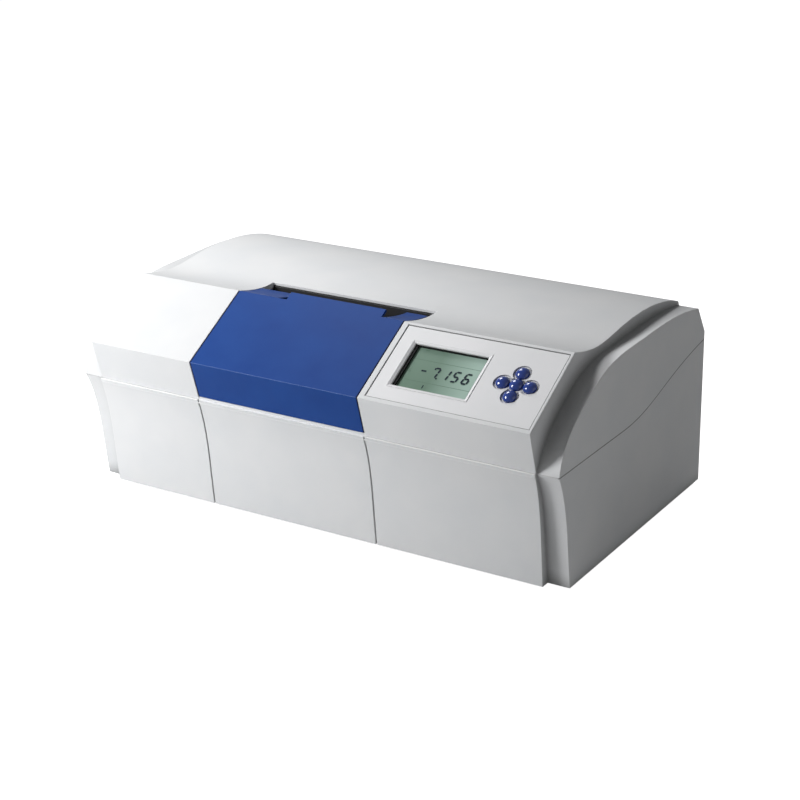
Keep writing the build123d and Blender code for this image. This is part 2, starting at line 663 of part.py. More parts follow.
def lid_hinge_brackets():
    """Two steel brackets on the chamber's rear wall, each with two ears round a lid arm."""
    wall_y = CUTOUT_BACK_Y - SIDE_PLAY - CHAMBER_WALL
    plate_y = wall_y - HINGE_EAR_T
    low = HINGE_Z - BRACKET_DROP
    ear = make_face(Polyline((HINGE_Y - 4.5, HINGE_Z - 4.5), (HINGE_Y + 4.5, HINGE_Z + 4.5),
                             (wall_y, HINGE_Z - 8), (wall_y, low), close=True))
    ear = ear + Pos(HINGE_Y, HINGE_Z) * Circle(HINGE_BARREL_R)
    ear -= Pos(HINGE_Y, HINGE_Z) * Circle(HINGE_PIN_R + RUN_FIT)
    solids = []
    for x in arm_starts():
        left, right = x - SIDE_PLAY, x + HINGE_ARM_T + SIDE_PLAY
        bracket = side_prism(ear, left - HINGE_EAR_T, left) + side_prism(ear, right, right + HINGE_EAR_T)
        bracket += box(left - HINGE_EAR_T, right + HINGE_EAR_T, plate_y, wall_y, low, HINGE_Z - 8)
        solids.append(bracket)
    return group(*solids)


def lid_hinge_pins():
    """Two short steel pins through the brackets and the lid's arms."""
    over = HINGE_EAR_T + SIDE_PLAY + 1.0
    return group(*[rod_x(HINGE_PIN_R, x - over, x + HINGE_ARM_T + over, HINGE_Y, HINGE_Z)
                   for x in arm_starts()])


def chamber_x():
    """The outer faces of the sample chamber's two side walls."""
    return LID_LEFT_X + SIDE_PLAY, LID_RIGHT_X - SIDE_PLAY


def sample_chamber():
    """The black chamber under the lid: floor, four walls, beam holes and the hinge well."""
    x0, x1 = chamber_x()
    back = CUTOUT_BACK_Y - SIDE_PLAY
    frame = side_window(CHAMBER_FRONT_Y, back, BENCH_TOP_Z, TALL_Z)
    depth = WALL + SEAL_GAP + SEAL_T
    body = side_prism(inward(upper_view(), depth) & frame, x0, x1)
    body -= box(x0 + CHAMBER_WALL, x1 - CHAMBER_WALL, CHAMBER_FRONT_Y + CHAMBER_WALL,
                back - CHAMBER_WALL, BENCH_TOP_Z + CHAMBER_WALL, TALL_Z)
    rear = inward(upper_view(), WALL + SEAL_GAP)
    rear = rear & side_window(back - CHAMBER_WALL, back, HINGE_Z, TALL_Z)
    body += side_prism(rear, x0 + CHAMBER_WALL, x1 - CHAMBER_WALL)
    for wall_x in (x0, x1 - CHAMBER_WALL):
        body -= rod_x(WELL_R, wall_x - 1, wall_x + CHAMBER_WALL, HINGE_Y, HINGE_Z) & box(
            wall_x - 1, wall_x + CHAMBER_WALL, HINGE_Y - WELL_R, HINGE_Y + WELL_R,
            HINGE_Z - WELL_R, TALL_Z)
        body -= rod_x(CHAMBER_BEAM_R, wall_x - 1, wall_x + CHAMBER_WALL + 1)
    return body


def lid_seal():
    """The rubber seal along the chamber's front and side walls, just under the lid."""
    x0, x1 = chamber_x()
    band = skin_band(WALL + SEAL_GAP, WALL + SEAL_GAP + SEAL_T)
    sides = band & side_window(CHAMBER_FRONT_Y, RIDGE_Y, BROW_Z - 10, TALL_Z)
    front = band & side_window(CHAMBER_FRONT_Y, CHAMBER_FRONT_Y + CHAMBER_WALL, BROW_Z - 10, TALL_Z)
    seal = side_prism(front, x0, x1)
    for x in (x0, x1 - CHAMBER_WALL):
        seal += side_prism(sides, x, x + CHAMBER_WALL)
    return seal


def chamber_windows():
    """The glass windows that let the light beam through the chamber's side walls."""
    x0, x1 = chamber_x()
    return group(*[rod_x(CHAMBER_BEAM_R - RUN_FIT, x, x + CHAMBER_WALL)
                   for x in (x0, x1 - CHAMBER_WALL)])


def tube_trough():
    """The V-block that the sample tube's end caps lie in."""
    floor_z = BENCH_TOP_Z + CHAMBER_WALL
    apex = OPTIC_Z - (TUBE_CAP_R + TROUGH_GAP) * math.sqrt(2)
    block = side_window(OPTIC_Y - TROUGH_W / 2, OPTIC_Y + TROUGH_W / 2, floor_z, floor_z + TROUGH_H)
    rise = TROUGH_W
    vee = make_face(Polyline((OPTIC_Y, apex), (OPTIC_Y + rise, apex + rise),
                             (OPTIC_Y - rise, apex + rise), close=True))
    half = TUBE_PATH / 2 + 3
    return side_prism(block - vee, TUBE_MID_X - half, TUBE_MID_X + half)


def sample_tube():
    """The glass sample tube, with the bulge that traps air bubbles near one end."""
    half = TUBE_PATH / 2
    bulge_x = half - 40
    outline = Polyline((-half, TUBE_BORE_R), (-half, TUBE_R), (bulge_x - 14, TUBE_R))
    bulge = Spline((bulge_x - 14, TUBE_R), (bulge_x, TUBE_BULGE_R), (bulge_x + 14, TUBE_R),
                   tangents=[(1, 0), (1, 0)])
    rest = Polyline((bulge_x + 14, TUBE_R), (half, TUBE_R), (half, TUBE_BORE_R), (-half, TUBE_BORE_R))
    tube = revolve(make_face(outline + bulge + rest), axis=Axis.X)
    return Pos(TUBE_MID_X, OPTIC_Y, OPTIC_Z) * tube


def tube_ends():
    """The two ends of the glass tube with the direction that each faces."""
    return ((TUBE_MID_X - TUBE_PATH / 2, -1), (TUBE_MID_X + TUBE_PATH / 2, 1))


def span_x(start, direction, near, far, radius):
    """A round bar between two distances from a point, along X or against it."""
    ends = sorted((start + direction * near, start + direction * far))
    return rod_x(radius, ends[0], ends[1])


def tube_caps():
    """Screw caps that clamp a window on each end of the tube."""
    over = WASHER_T + WINDOW_T
    solids = []
    for x, out in tube_ends():
        cap = span_x(x, out, over + TUBE_CAP_LIP - TUBE_CAP_LEN, over + TUBE_CAP_LIP, TUBE_CAP_R)
        cap -= span_x(x, out, -TUBE_CAP_LEN, over, TUBE_R + RUN_FIT)
        solids.append(cap - span_x(x, out, 0, over + TUBE_CAP_LEN, TUBE_R - 2))
    return group(*solids)


def tube_windows():
    """The cover glasses at the ends of the tube."""
    return group(*[span_x(x, out, WASHER_T, WASHER_T + WINDOW_T, TUBE_R - RUN_FIT)
                   for x, out in tube_ends()])


def tube_washers():
    """Rubber rings between the glass tube and its cover glasses."""
    return group(*[span_x(x, out, 0, WASHER_T, TUBE_R - RUN_FIT)
                   - span_x(x, out, -1, WASHER_T + 1, TUBE_BORE_R + 0.5) for x, out in tube_ends()])


# Optical bench

def optical_bench():
    """A cast channel on the chassis that carries everything on the optical axis."""
    y0, y1 = OPTIC_Y - BENCH_W / 2, OPTIC_Y + BENCH_W / 2
    channel = side_window(y0, y1, CHASSIS_TOP_Z, BENCH_TOP_Z)
    channel -= side_window(y0 + BENCH_T, y1 - BENCH_T, CHASSIS_TOP_Z - 1, BENCH_TOP_Z - BENCH_T)
    half = CHASSIS_HALF_W - CHASSIS_T - BENCH_END
    bench = side_prism(channel, -half, half)
    for x in BENCH_RIBS:
        bench += box(x - BENCH_T / 2, x + BENCH_T / 2, y0 + 1, y1 - 1, CHASSIS_TOP_Z, BENCH_TOP_Z - 1)
    return bench


def optic_mount(x, bore_r):
    """A block on the bench with a round seat on the optical axis."""
    mount = box(x - MOUNT_T / 2, x + MOUNT_T / 2, OPTIC_Y - MOUNT_W / 2, OPTIC_Y + MOUNT_W / 2,
                BENCH_TOP_Z, OPTIC_Z + MOUNT_W / 2)
    mount = chamfer(mount.edges().filter_by(Axis.X).group_by(Axis.Z)[-1], MOUNT_W / 5)
    return mount - rod_x(bore_r + RUN_FIT, x - MOUNT_T, x + MOUNT_T)


def lamp_housing():
    """The lamp's sheet-metal box, with a beam hole, a socket hole and cooling slots on top."""
    x0 = LAMP_HOUSE_X
    x1 = x0 + LAMP_HOUSE_LEN
    half, wall = LAMP_HOUSE_W / 2, LAMP_HOUSE_T
    top = OPTIC_Z + half + 3
    house = box(x0, x1, OPTIC_Y - half, OPTIC_Y + half, BENCH_TOP_Z, top)
    house -= box(x0 + wall, x1 - wall, OPTIC_Y - half + wall, OPTIC_Y + half - wall,
                 BENCH_TOP_Z + wall, top - wall)
    house -= rod_x(SOCKET_R + RUN_FIT, x0 - 1, x0 + wall + 1)
    house -= rod_x(LAMP_R, x1 - wall - 1, x1 + 1)
    for index in range(4):
        x = x0 + LAMP_HOUSE_LEN * (index + 1) / 5
        house -= box(x - 1.5, x + 1.5, OPTIC_Y - 16, OPTIC_Y + 16, top - wall - 1, top + 1)
    return house


def lamp_socket():
    """The ceramic socket in the lamp box's end wall, with the recess that the lamp plugs into."""
    x0 = LAMP_HOUSE_X - 4
    return rod_x(SOCKET_R, x0, x0 + SOCKET_LEN) - rod_x(LAMP_R - 2 + RUN_FIT, x0 + 4, x0 + SOCKET_LEN + 1)


def lamp():
    """The spectral lamp: a base in the socket and a glass bulb with a round nose."""
    x0 = LAMP_HOUSE_X + SOCKET_LEN - 4
    bulb = rod_x(LAMP_R - 2, x0 - 8, x0 + 1) + rod_x(LAMP_R, x0 + 1, x0 + LAMP_LEN - LAMP_R)
    return bulb + Pos(x0 + LAMP_LEN - LAMP_R, OPTIC_Y, OPTIC_Z) * Sphere(LAMP_R)


def condenser_lens():
    """A lens with two bulging faces, turned about the optical axis."""
    edge, bulge = 1.5, 2.8
    faces = [cap_arc(LENS_R, edge, edge + bulge), mirror(cap_arc(LENS_R, edge, edge + bulge), Plane.XZ)]
    sides = Line((LENS_R, edge), (LENS_R, -edge)) + Line((0, edge + bulge), (0, -edge - bulge))
    lens = revolve(make_face(faces + list(sides.edges())), axis=Axis.Y)
    return Pos(CONDENSER_X, OPTIC_Y, OPTIC_Z) * Rot(0, 0, 90) * lens


def polariser():
    """The fixed polarising disc."""
    return rod_x(POLARISER_R, POLARISER_X - POLARISER_T / 2, POLARISER_X + POLARISER_T / 2)


def modulator_bobbin():
    """The hollow bobbin of the modulator, on two feet."""
    x1 = COIL_END_X
    x0 = x1 - COIL_LEN
    bobbin = rod_x(COIL_CORE_R, x0, x1)
    for x in (x0, x1 - COIL_FLANGE_T):
        bobbin += rod_x(COIL_R, x, x + COIL_FLANGE_T)
        bobbin += box(x, x + COIL_FLANGE_T, OPTIC_Y - COIL_CORE_R, OPTIC_Y + COIL_CORE_R,
                      BENCH_TOP_Z, OPTIC_Z)
    return bobbin - rod_x(COIL_BORE_R, x0 - 1, x1 + 1)


def modulator_coil():
    """The copper winding between the bobbin's flanges."""
    x0 = COIL_END_X - COIL_LEN + COIL_FLANGE_T + RUN_FIT
    x1 = COIL_END_X - COIL_FLANGE_T - RUN_FIT
    return rod_x(COIL_R - 1, x0, x1) - rod_x(COIL_CORE_R + RUN_FIT, x0 - 1, x1 + 1)


def gear_face(teeth, turn):
    """Outline of a spur gear with involute flanks, turned by a number of degrees."""
    pitch_r = GEAR_MODULE * teeth / 2
    base_r = pitch_r * math.cos(math.radians(20))
    tip_r = pitch_r + 0.95 * GEAR_MODULE
    root_r = pitch_r - 1.25 * GEAR_MODULE
    half_tooth = math.pi / (2 * teeth) - TOOTH_THINNING / pitch_r

    def involute(radius):
        angle = math.acos(min(1.0, base_r / radius))
        return math.tan(angle) - angle

    start_r = max(base_r, root_r)
    radii = [start_r + (tip_r - start_r) * step / 3 for step in range(4)]
    flank = [(radius, half_tooth + involute(pitch_r) - involute(radius)) for radius in radii]
    if root_r < base_r:
        flank.insert(0, (root_r, flank[0][1]))
    points = []
    for tooth in range(teeth):
        middle = math.radians(turn) + 2 * math.pi * tooth / teeth
        rising = [(radius, middle - angle) for radius, angle in flank]
        falling = [(radius, middle + angle) for radius, angle in reversed(flank)]
        points += [(radius * math.cos(a), radius * math.sin(a)) for radius, a in rising + falling]
    return make_face(Polyline(*points, close=True))


def analyser_wheel():
    """The toothed wheel on its hollow hub; a gap between teeth faces the pinion."""
    x1 = WHEEL_X + WHEEL_FACE / 2
    face = gear_face(WHEEL_TEETH, 180 / WHEEL_TEETH)
    wheel = side_prism(Pos(OPTIC_Y, OPTIC_Z) * face, x1 - WHEEL_FACE, x1)
    for index in range(6):
        angle = math.radians(60 * index)
        y, z = OPTIC_Y + 19 * math.cos(angle), OPTIC_Z + 19 * math.sin(angle)
        wheel -= rod_x(4.5, x1 - WHEEL_FACE - 1, x1 + 1, y, z)
    wheel += rod_x(HUB_R, x1 - HUB_LEN, x1)
    return wheel - rod_x(HUB_BORE_R, x1 - HUB_LEN - 1, x1 + 1)


def analyser_disc():
    """The polarising disc that turns with the wheel, in the hub's bore."""
    x = WHEEL_X + WHEEL_FACE / 2 - HUB_LEN + 4
    return rod_x(HUB_BORE_R - RUN_FIT, x, x + ANALYSER_T)


def block_x():
    """The two end faces of the analyser's bearing block."""
    x1 = WHEEL_X - WHEEL_FACE / 2 - 6
    return x1 - BLOCK_LEN, x1


def analyser_block():
    """The bearing block that carries the analyser's hub on the bench."""
    x0, x1 = block_x()
    block = box(x0, x1, OPTIC_Y - BLOCK_W / 2, OPTIC_Y + BLOCK_W / 2, BENCH_TOP_Z, OPTIC_Z + BLOCK_W / 2)
    block = chamfer(block.edges().filter_by(Axis.X).group_by(Axis.Z)[-1], BLOCK_W / 5)
    block -= rod_x(HUB_R + 1.5, x0 - 1, x1 + 1)
    for x in (x0, x1 - BEARING_W):
        block -= rod_x(BEARING_R + RUN_FIT, x - (1 if x == x0 else 0), x + BEARING_W + (0 if x == x0 else 1))
    return block


def analyser_bearings():
    """Two thin bearings in the block, one at each end."""
    x0, x1 = block_x()
    return group(*[rod_x(BEARING_R, x, x + BEARING_W) - rod_x(HUB_R + RUN_FIT, x - 1, x + BEARING_W + 1)
                   for x in (x0, x1 - BEARING_W)])


def drive_pinion():
    """The small gear on the motor's shaft; one tooth faces the analyser wheel."""
    face = gear_face(PINION_TEETH, 180)
    pinion = side_prism(Pos(PINION_Y, OPTIC_Z) * face, WHEEL_X - PINION_FACE / 2, WHEEL_X + PINION_FACE / 2)
    return pinion - rod_x(MOTOR_SHAFT_R, WHEEL_X - PINION_FACE, WHEEL_X + PINION_FACE, PINION_Y)


def motor_x():
    """The servo motor's front face."""
    return WHEEL_X + PINION_FACE / 2 + MOTOR_BOSS_LEN + MOTOR_PLATE_T


def motor_shaft():
    """The steel shaft that the pinion is fixed on."""
    return rod_x(MOTOR_SHAFT_R, WHEEL_X - PINION_FACE / 2 - 2, motor_x() + 8, PINION_Y)


def servo_motor():
    """The servo motor: a round can with a front boss that centres it in the bracket."""
    x = motor_x()
    can = rod_x(MOTOR_R, x, x + MOTOR_LEN, PINION_Y)
    can += rod_x(MOTOR_BOSS_R, x - MOTOR_PLATE_T, x + 1, PINION_Y)
    return can - rod_x(MOTOR_SHAFT_R + RUN_FIT, x - 5, x + 10, PINION_Y)


def motor_bracket():
    """An upright plate on a foot that holds the motor beside the wheel."""
    x1 = motor_x()
    x0 = x1 - MOTOR_PLATE_T
    y0, y1 = PINION_Y - MOTOR_R, OPTIC_Y + BENCH_W / 2
    plate = box(x0, x1, y0, PINION_Y + MOTOR_R + MOTOR_EDGE, BENCH_TOP_Z, OPTIC_Z + MOTOR_R + MOTOR_EDGE)
    plate += box(x0, x1 + MOTOR_FOOT_LEN, y0, y1, BENCH_TOP_Z, BENCH_TOP_Z + MOTOR_PLATE_T)
    return plate - rod_x(MOTOR_BOSS_R + RUN_FIT, x0 - 1, x1 + 1, PINION_Y)


def interference_filter():
    """The yellow-line filter in front of the detector."""
    return rod_x(POLARISER_R, FILTER_X - FILTER_T / 2, FILTER_X + FILTER_T / 2)


def detector_housing():
    """The detector's light-tight can on two saddles, with pads for the amplifier board."""
    x0, x1 = DETECTOR_X, DETECTOR_X + DETECTOR_LEN
    can = rod_x(DETECTOR_R, x0, x1)
    for x in (x0 + 10, x1 - 18):
        can += box(x, x + 8, OPTIC_Y - 13, OPTIC_Y + 13, BENCH_TOP_Z, OPTIC_Z - DETECTOR_R / 2)
        can += box(x, x + 4, OPTIC_Y - 6, OPTIC_Y + 6, OPTIC_Z, OPTIC_Z + DETECTOR_R + PAD_H)
    can -= rod_x(DETECTOR_R - DETECTOR_WALL, x0 + DETECTOR_WALL, x1 - DETECTOR_WALL)
    return can - rod_x(HUB_BORE_R, x0 - 1, x0 + DETECTOR_WALL + 1)


def phototube():
    """The photomultiplier: a glass envelope on a wider base that fits the can."""
    x1 = DETECTOR_X + DETECTOR_LEN - DETECTOR_WALL - RUN_FIT
    tube = rod_x(PHOTOTUBE_R, x1 - PHOTOTUBE_LEN, x1 - 10)
    return tube + rod_x(DETECTOR_R - DETECTOR_WALL - RUN_FIT, x1 - 16, x1)


def preamp_board():
    """The small amplifier board on the detector can's pads."""
    z = OPTIC_Z + DETECTOR_R + PAD_H
    x0, x1 = DETECTOR_X + PREAMP_END, DETECTOR_X + DETECTOR_LEN - PREAMP_END
    board = box(x0, x1, OPTIC_Y - PREAMP_D / 2, OPTIC_Y + PREAMP_D / 2, z, z + BOARD_T)
    for index in range(3):
        x = x0 + 14 + 22 * index
        board += box(x, x + 10, OPTIC_Y - 4, OPTIC_Y + 4, z + BOARD_T - 0.2, z + BOARD_T + 3)
    return board


# Control panel

def key_places():
    """Each key's name and its place on the sloped face."""
    return (("key_up", KEY_X, KEY_S + KEY_PITCH), ("key_down", KEY_X, KEY_S - KEY_PITCH),
            ("key_left", KEY_X - KEY_PITCH, KEY_S), ("key_right", KEY_X + KEY_PITCH, KEY_S),
            ("key_enter", KEY_X, KEY_S))


def control_panel():
    """The moulded plate: display opening, and a clover-shaped pocket with the key holes."""
    gap = PANEL_GAP
    plate = slope_box(PANEL_X0 + gap, PANEL_X1 - gap, PANEL_S0 + gap, PANEL_S1 - gap,
                      PANEL_LOW_N, PANEL_TOP_N)
    plate -= slope_box(DISPLAY_LEFT_X, DISPLAY_LEFT_X + DISPLAY_W, DISPLAY_FOOT_S,
                       DISPLAY_FOOT_S + DISPLAY_H, PANEL_LOW_N - 1, 1)
    for name, x, s in key_places():
        pocket = on_slope(Cylinder(KEY_POCKET_R, 4), x, s, PANEL_TOP_N - KEY_POCKET_DEPTH + 2)
        plate -= pocket
        plate -= on_slope(Cylinder(KEY_R + KEY_HOLE_GAP, 12), x, s, PANEL_TOP_N)
    return plate


def display_opening(inset):
    """The display's frame in slope directions, drawn in on every side."""
    return (DISPLAY_LEFT_X + inset, DISPLAY_LEFT_X + DISPLAY_W - inset,
            DISPLAY_FOOT_S + inset, DISPLAY_FOOT_S + DISPLAY_H - inset)


def display_bezel():
    """The white frame round the display, its inside bevelled down to the glass."""
    x0, x1, s0, s1 = display_opening(RUN_FIT)
    top = PANEL_TOP_N + 0.5
    bezel = slope_box(x0, x1, s0, s1, PANEL_LOW_N, top)
    middle = ((x0 + x1) / 2, (s0 + s1) / 2)
    w, h = x1 - x0 - 0.8, s1 - s0 - 0.8
    mouth = SLOPE.offset(top) * Pos(*middle) * Rectangle(w, h)
    throat = SLOPE.offset(top - BEZEL_DROP) * Pos(*middle) * Rectangle(w - 2 * BEZEL_BEVEL, h - 2 * BEZEL_BEVEL)
    bezel -= loft([mouth, throat])
    x0, x1, s0, s1 = display_opening(RUN_FIT + 0.4 + BEZEL_BEVEL)
    return bezel - slope_box(x0, x1, s0, s1, PANEL_LOW_N - 1, top)


def display_frame():
    """The black metal frame of the display module, under the bezel."""
    x0, x1, s0, s1 = display_opening(-2.8)
    frame = slope_box(x0, x1, s0, s1, PANEL_LOW_N - GLASS_DEPTH - GLASS_T, PANEL_LOW_N)
    a0, a1, b0, b1 = display_opening(RUN_FIT + 0.4 + BEZEL_BEVEL)
    frame -= slope_box(a0 + MASK_LIP, a1 - 1.5, b0 - 0.5, b1 - 1, PANEL_LOW_N - 20, 0)
    return frame - slope_box(a0 + MASK_LIP - 2, a1 + 0.5, b0 - 2.5, b1 + 1, PANEL_LOW_N - 20,
                             PANEL_LOW_N - GLASS_DEPTH)


def display_glass():
    """The liquid-crystal glass, held in the frame's rear pocket."""
    a0, a1, b0, b1 = display_opening(RUN_FIT + 0.4 + BEZEL_BEVEL)
    low = PANEL_LOW_N - GLASS_DEPTH - GLASS_T
    fit = 2 * RUN_FIT
    return slope_box(a0 + MASK_LIP - 2 + fit, a1 + 0.5 - fit, b0 - 2.5 + fit, b1 + 1 - fit, low, low + GLASS_T)


def display_board():
    """The display module's circuit board, behind the glass."""
    x0, x1, s0, s1 = display_opening(-3.5)
    top = PANEL_LOW_N - GLASS_DEPTH - GLASS_T
    board = slope_box(x0, x1, s0, s1, top - BOARD_T, top)
    return board + slope_box(x0 + 20, x1 - 40, s0 + 12, s0 + 22, top - BOARD_T - 4, top - BOARD_T + 0.2)


def key(x, s):
    """One domed key: a turned cap with a flange under the panel and a short stem."""
    rim = PANEL_TOP_N + 0.6
    flange_top = PANEL_LOW_N - 2 * RUN_FIT
    flange_low = flange_top - KEY_FLANGE_T
    flange_r = KEY_R + KEY_FLANGE_LIP
    top = PANEL_TOP_N + KEY_PROUD
    side = Polyline((0, top), (0, flange_low - KEY_STEM_LEN), (KEY_STEM_R, flange_low - KEY_STEM_LEN),
                    (KEY_STEM_R, flange_low), (flange_r, flange_low), (flange_r, flange_top),
                    (KEY_R, flange_top), (KEY_R, rim))
    dome = cap_arc(KEY_R, rim, top)
    turned = revolve(make_face(Plane.XZ * (side + dome)), axis=Axis.Z)
    return on_slope(turned, x, s, 0)


def key_board():
    """The key circuit board on four posts, with a push switch under each key."""
    rim = KEY_PITCH + KEY_R + 2
    x0, x1, s0, s1 = KEY_X - rim, KEY_X + rim, KEY_S - rim, KEY_S + rim
    switch_top = PANEL_LOW_N - 2 * RUN_FIT - KEY_FLANGE_T - KEY_STEM_LEN - KEY_TRAVEL - 0.3
    top = switch_top - 2
    board = slope_box(x0, x1, s0, s1, top - BOARD_T, top)
    for name, x, s in key_places():
        board += slope_box(x - 3, x + 3, s - 3, s + 3, top - 0.2, switch_top)
    length = PANEL_LOW_N - top
    for x in (x0 + 3, x1 - 3):
        for s in (s0 + 3, s1 - 3):
            board += on_slope(Cylinder(2.0, length + 0.2), x, s, top + length / 2 - 0.1)
    return board


# Electronics and the rear connectors

def transformer_core():
    """The laminated core with its two windows."""
    half_w, half_h = TRANSFORMER_W / 2, TRANSFORMER_H / 2
    z = CHASSIS_TOP_Z + half_h
    x, y, d = TRANSFORMER_X, TRANSFORMER_Y, TRANSFORMER_D / 4
    core = box(x - half_w, x + half_w, y - d, y + d, z - half_h, z + half_h)
    for side in (-1, 1):
        window = half_w / 2 - CORE_LEG
        middle = x + side * (CORE_LEG + window)
        core -= box(middle - window, middle + window, y - d - 1, y + d + 1,
                    z - half_h + CORE_LEG, z + half_h - CORE_LEG)
    return core


def transformer_winding():
    """The winding round the core's middle leg, standing out at both sides."""
    z = CHASSIS_TOP_Z + TRANSFORMER_H / 2
    x, y, d = TRANSFORMER_X, TRANSFORMER_Y, TRANSFORMER_D / 4
    w, h, fit = TRANSFORMER_W / 2 - CORE_LEG, TRANSFORMER_H / 2 - CORE_LEG, 0.2
    coil = box(x - w + fit, x + w - fit, y - d - COIL_OVERHANG, y + d + COIL_OVERHANG,
               z - h + fit, z + h - fit)
    return coil - box(x - CORE_LEG - fit, x + CORE_LEG + fit, y - d - fit, y + d + fit, z - h - 1, z + h + 1)


def board_on_posts(x, y, w, d):
    """A circuit board's outline and the places of its four posts."""
    z = CHASSIS_TOP_Z + BOARD_STAND
    board = box(x - w / 2, x + w / 2, y - d / 2, y + d / 2, z, z + BOARD_T)
    posts = [(x + i * (w / 2 - 6), y + j * (d / 2 - 6)) for i in (-1, 1) for j in (-1, 1)]
    return board, posts


def main_board():
    """The computer board: its chips, a display connector and a row of capacitors."""
    board, _ = board_on_posts(MAIN_BOARD_X, MAIN_BOARD_Y, MAIN_BOARD_W, MAIN_BOARD_D)
    z = CHASSIS_TOP_Z + BOARD_STAND + BOARD_T
    board += box(MAIN_BOARD_X - 16, MAIN_BOARD_X + 16, MAIN_BOARD_Y - 16, MAIN_BOARD_Y + 16, z - 0.2, z + 3)
    for index in range(4):
        x = MAIN_BOARD_X - 75 + 18 * index
        board += box(x, x + 10, MAIN_BOARD_Y + 30, MAIN_BOARD_Y + 55, z - 0.2, z + 4)
    return board


def power_board():
    """The power-supply board: capacitors and a finned heat sink."""
    board, _ = board_on_posts(POWER_BOARD_X, POWER_BOARD_Y, POWER_BOARD_W, POWER_BOARD_D)
    z = CHASSIS_TOP_Z + BOARD_STAND + BOARD_T
    for index in range(2):
        x = POWER_BOARD_X - POWER_BOARD_W / 3 + 2.7 * RESERVOIR_R * index
        board += rod_z(RESERVOIR_R, x, POWER_BOARD_Y + POWER_BOARD_D / 4, z - 0.2, z + RESERVOIR_H)
    x0, y0 = POWER_BOARD_X + FIN_PITCH, POWER_BOARD_Y - POWER_BOARD_D / 2 + 10
    for index in range(FIN_COUNT):
        x = x0 + FIN_PITCH * index
        board += box(x, x + FIN_T, y0, y0 + FIN_LEN, z + 2, z + FIN_H)
    x1 = x0 + FIN_PITCH * (FIN_COUNT - 1) + FIN_T
    return board + box(x0, x1, y0, y0 + FIN_LEN, z - 0.2, z + 3)


def board_standoffs():
    """The posts under both large boards."""
    solids = []
    for sizes in ((MAIN_BOARD_X, MAIN_BOARD_Y, MAIN_BOARD_W, MAIN_BOARD_D),
                  (POWER_BOARD_X, POWER_BOARD_Y, POWER_BOARD_W, POWER_BOARD_D)):
        _, posts = board_on_posts(*sizes)
        solids += [rod_z(STANDOFF_R, x, y, CHASSIS_TOP_Z, CHASSIS_TOP_Z + BOARD_STAND) for x, y in posts]
    return group(*solids)


def power_inlet():
    """The mains inlet: a flange, a body behind the panel and three pins in a deep socket."""
    x, z = INLET_X, FLOOR_Z + INLET_H
    w, h, lip = INLET_W / 2 - 0.2, INLET_TALL / 2 - 0.2, INLET_LIP
    face = REAR_FACE_Y + INLET_FLANGE_T
    inlet = box(x - w, x + w, face - INLET_DEPTH - 4, REAR_FACE_Y + 1, z - h, z + h)
    inlet += box(x - w - lip, x + w + lip, REAR_FACE_Y, face, z - h - lip, z + h + lip)
    inlet -= box(x - w + 1.8, x + w - 1.8, face - INLET_DEPTH, face + 1, z - h + 1.8, z + h - 1.8)
    for dx, dz in ((-7, -2), (7, -2), (0, 3)):
        inlet += box(x + dx - 1, x + dx + 1, face - INLET_DEPTH - 1, face - PIN_SETBACK, z + dz - 2, z + dz + 2)
    return inlet


def power_switch():
    """The switch's frame and body, hollow for the rocker, with the two bores of its pivot."""
    x, z = SWITCH_X, FLOOR_Z + INLET_H
    w, h = SWITCH_W / 2 - 0.2, SWITCH_TALL / 2 - 0.2
    face = REAR_FACE_Y + SWITCH_FLANGE_T
    body = box(x - w, x + w, face - 18, REAR_FACE_Y + 1, z - h, z + h)
    body += box(x - w - 1.5, x + w + 1.5, REAR_FACE_Y, face, z - h - 1.5, z + h + 1.5)
    body -= box(x - w + SWITCH_WALL, x + w - SWITCH_WALL, face - 14, face + 1,
                z - h + SWITCH_WALL, z + h - SWITCH_WALL)
    return body - rod_x(ROCKER_PIN_R + RUN_FIT, x - w + 0.5, x + w - 0.5, rocker_y(), z)


def rocker_y():
    """How far back the rocker's pivot lies."""
    return REAR_FACE_Y + SWITCH_FLANGE_T - ROCKER_PIVOT_DEPTH


def power_rocker():
    """The rocker in its off position: a shallow V on a pivot with two stub pins."""
    x, z, y = SWITCH_X, FLOOR_Z + INLET_H, rocker_y()
    half = SWITCH_W / 2 - 0.2 - SWITCH_WALL - ROCKER_PLAY
    tall = ROCKER_HALF
    view = make_face(Polyline((-3, -2), (2.2, -tall), (4.6, -tall), (3.4, 0), (4.6, tall), (2.2, tall),
                              (-3, 2), close=True))
    rocker = side_prism(Pos(y, z) * Rot(0, 0, ROCKER_DEG / 2) * view, x - half, x + half)
    stub = half + SWITCH_WALL + ROCKER_PLAY - 0.6
    return rocker + rod_x(ROCKER_PIN_R, x - stub, x + stub, y, z)


def serial_port():
    """The nine-pin port: flange, D-shaped shell and body."""
    x, z = SERIAL_X, FLOOR_Z + INLET_H
    w, h = SERIAL_W / 2 - 0.2, SERIAL_TALL / 2 - 0.2
    port = box(x - w, x + w, REAR_INNER_Y - 10, REAR_FACE_Y + 1, z - h, z + h)
    port += box(x - w - 6, x + w + 6, REAR_FACE_Y, REAR_FACE_Y + 1, z - h - 1.5, z + h + 1.5)
    shell = make_face(Polyline((-w + 1, h - 1), (w - 1, h - 1), (w - 2.5, -h + 1), (-w + 2.5, -h + 1), close=True))
    port += Plane(origin=(x, REAR_FACE_Y, z), x_dir=(-1, 0, 0), z_dir=(0, 1, 0)) * extrude(shell, amount=5.5)
    return port


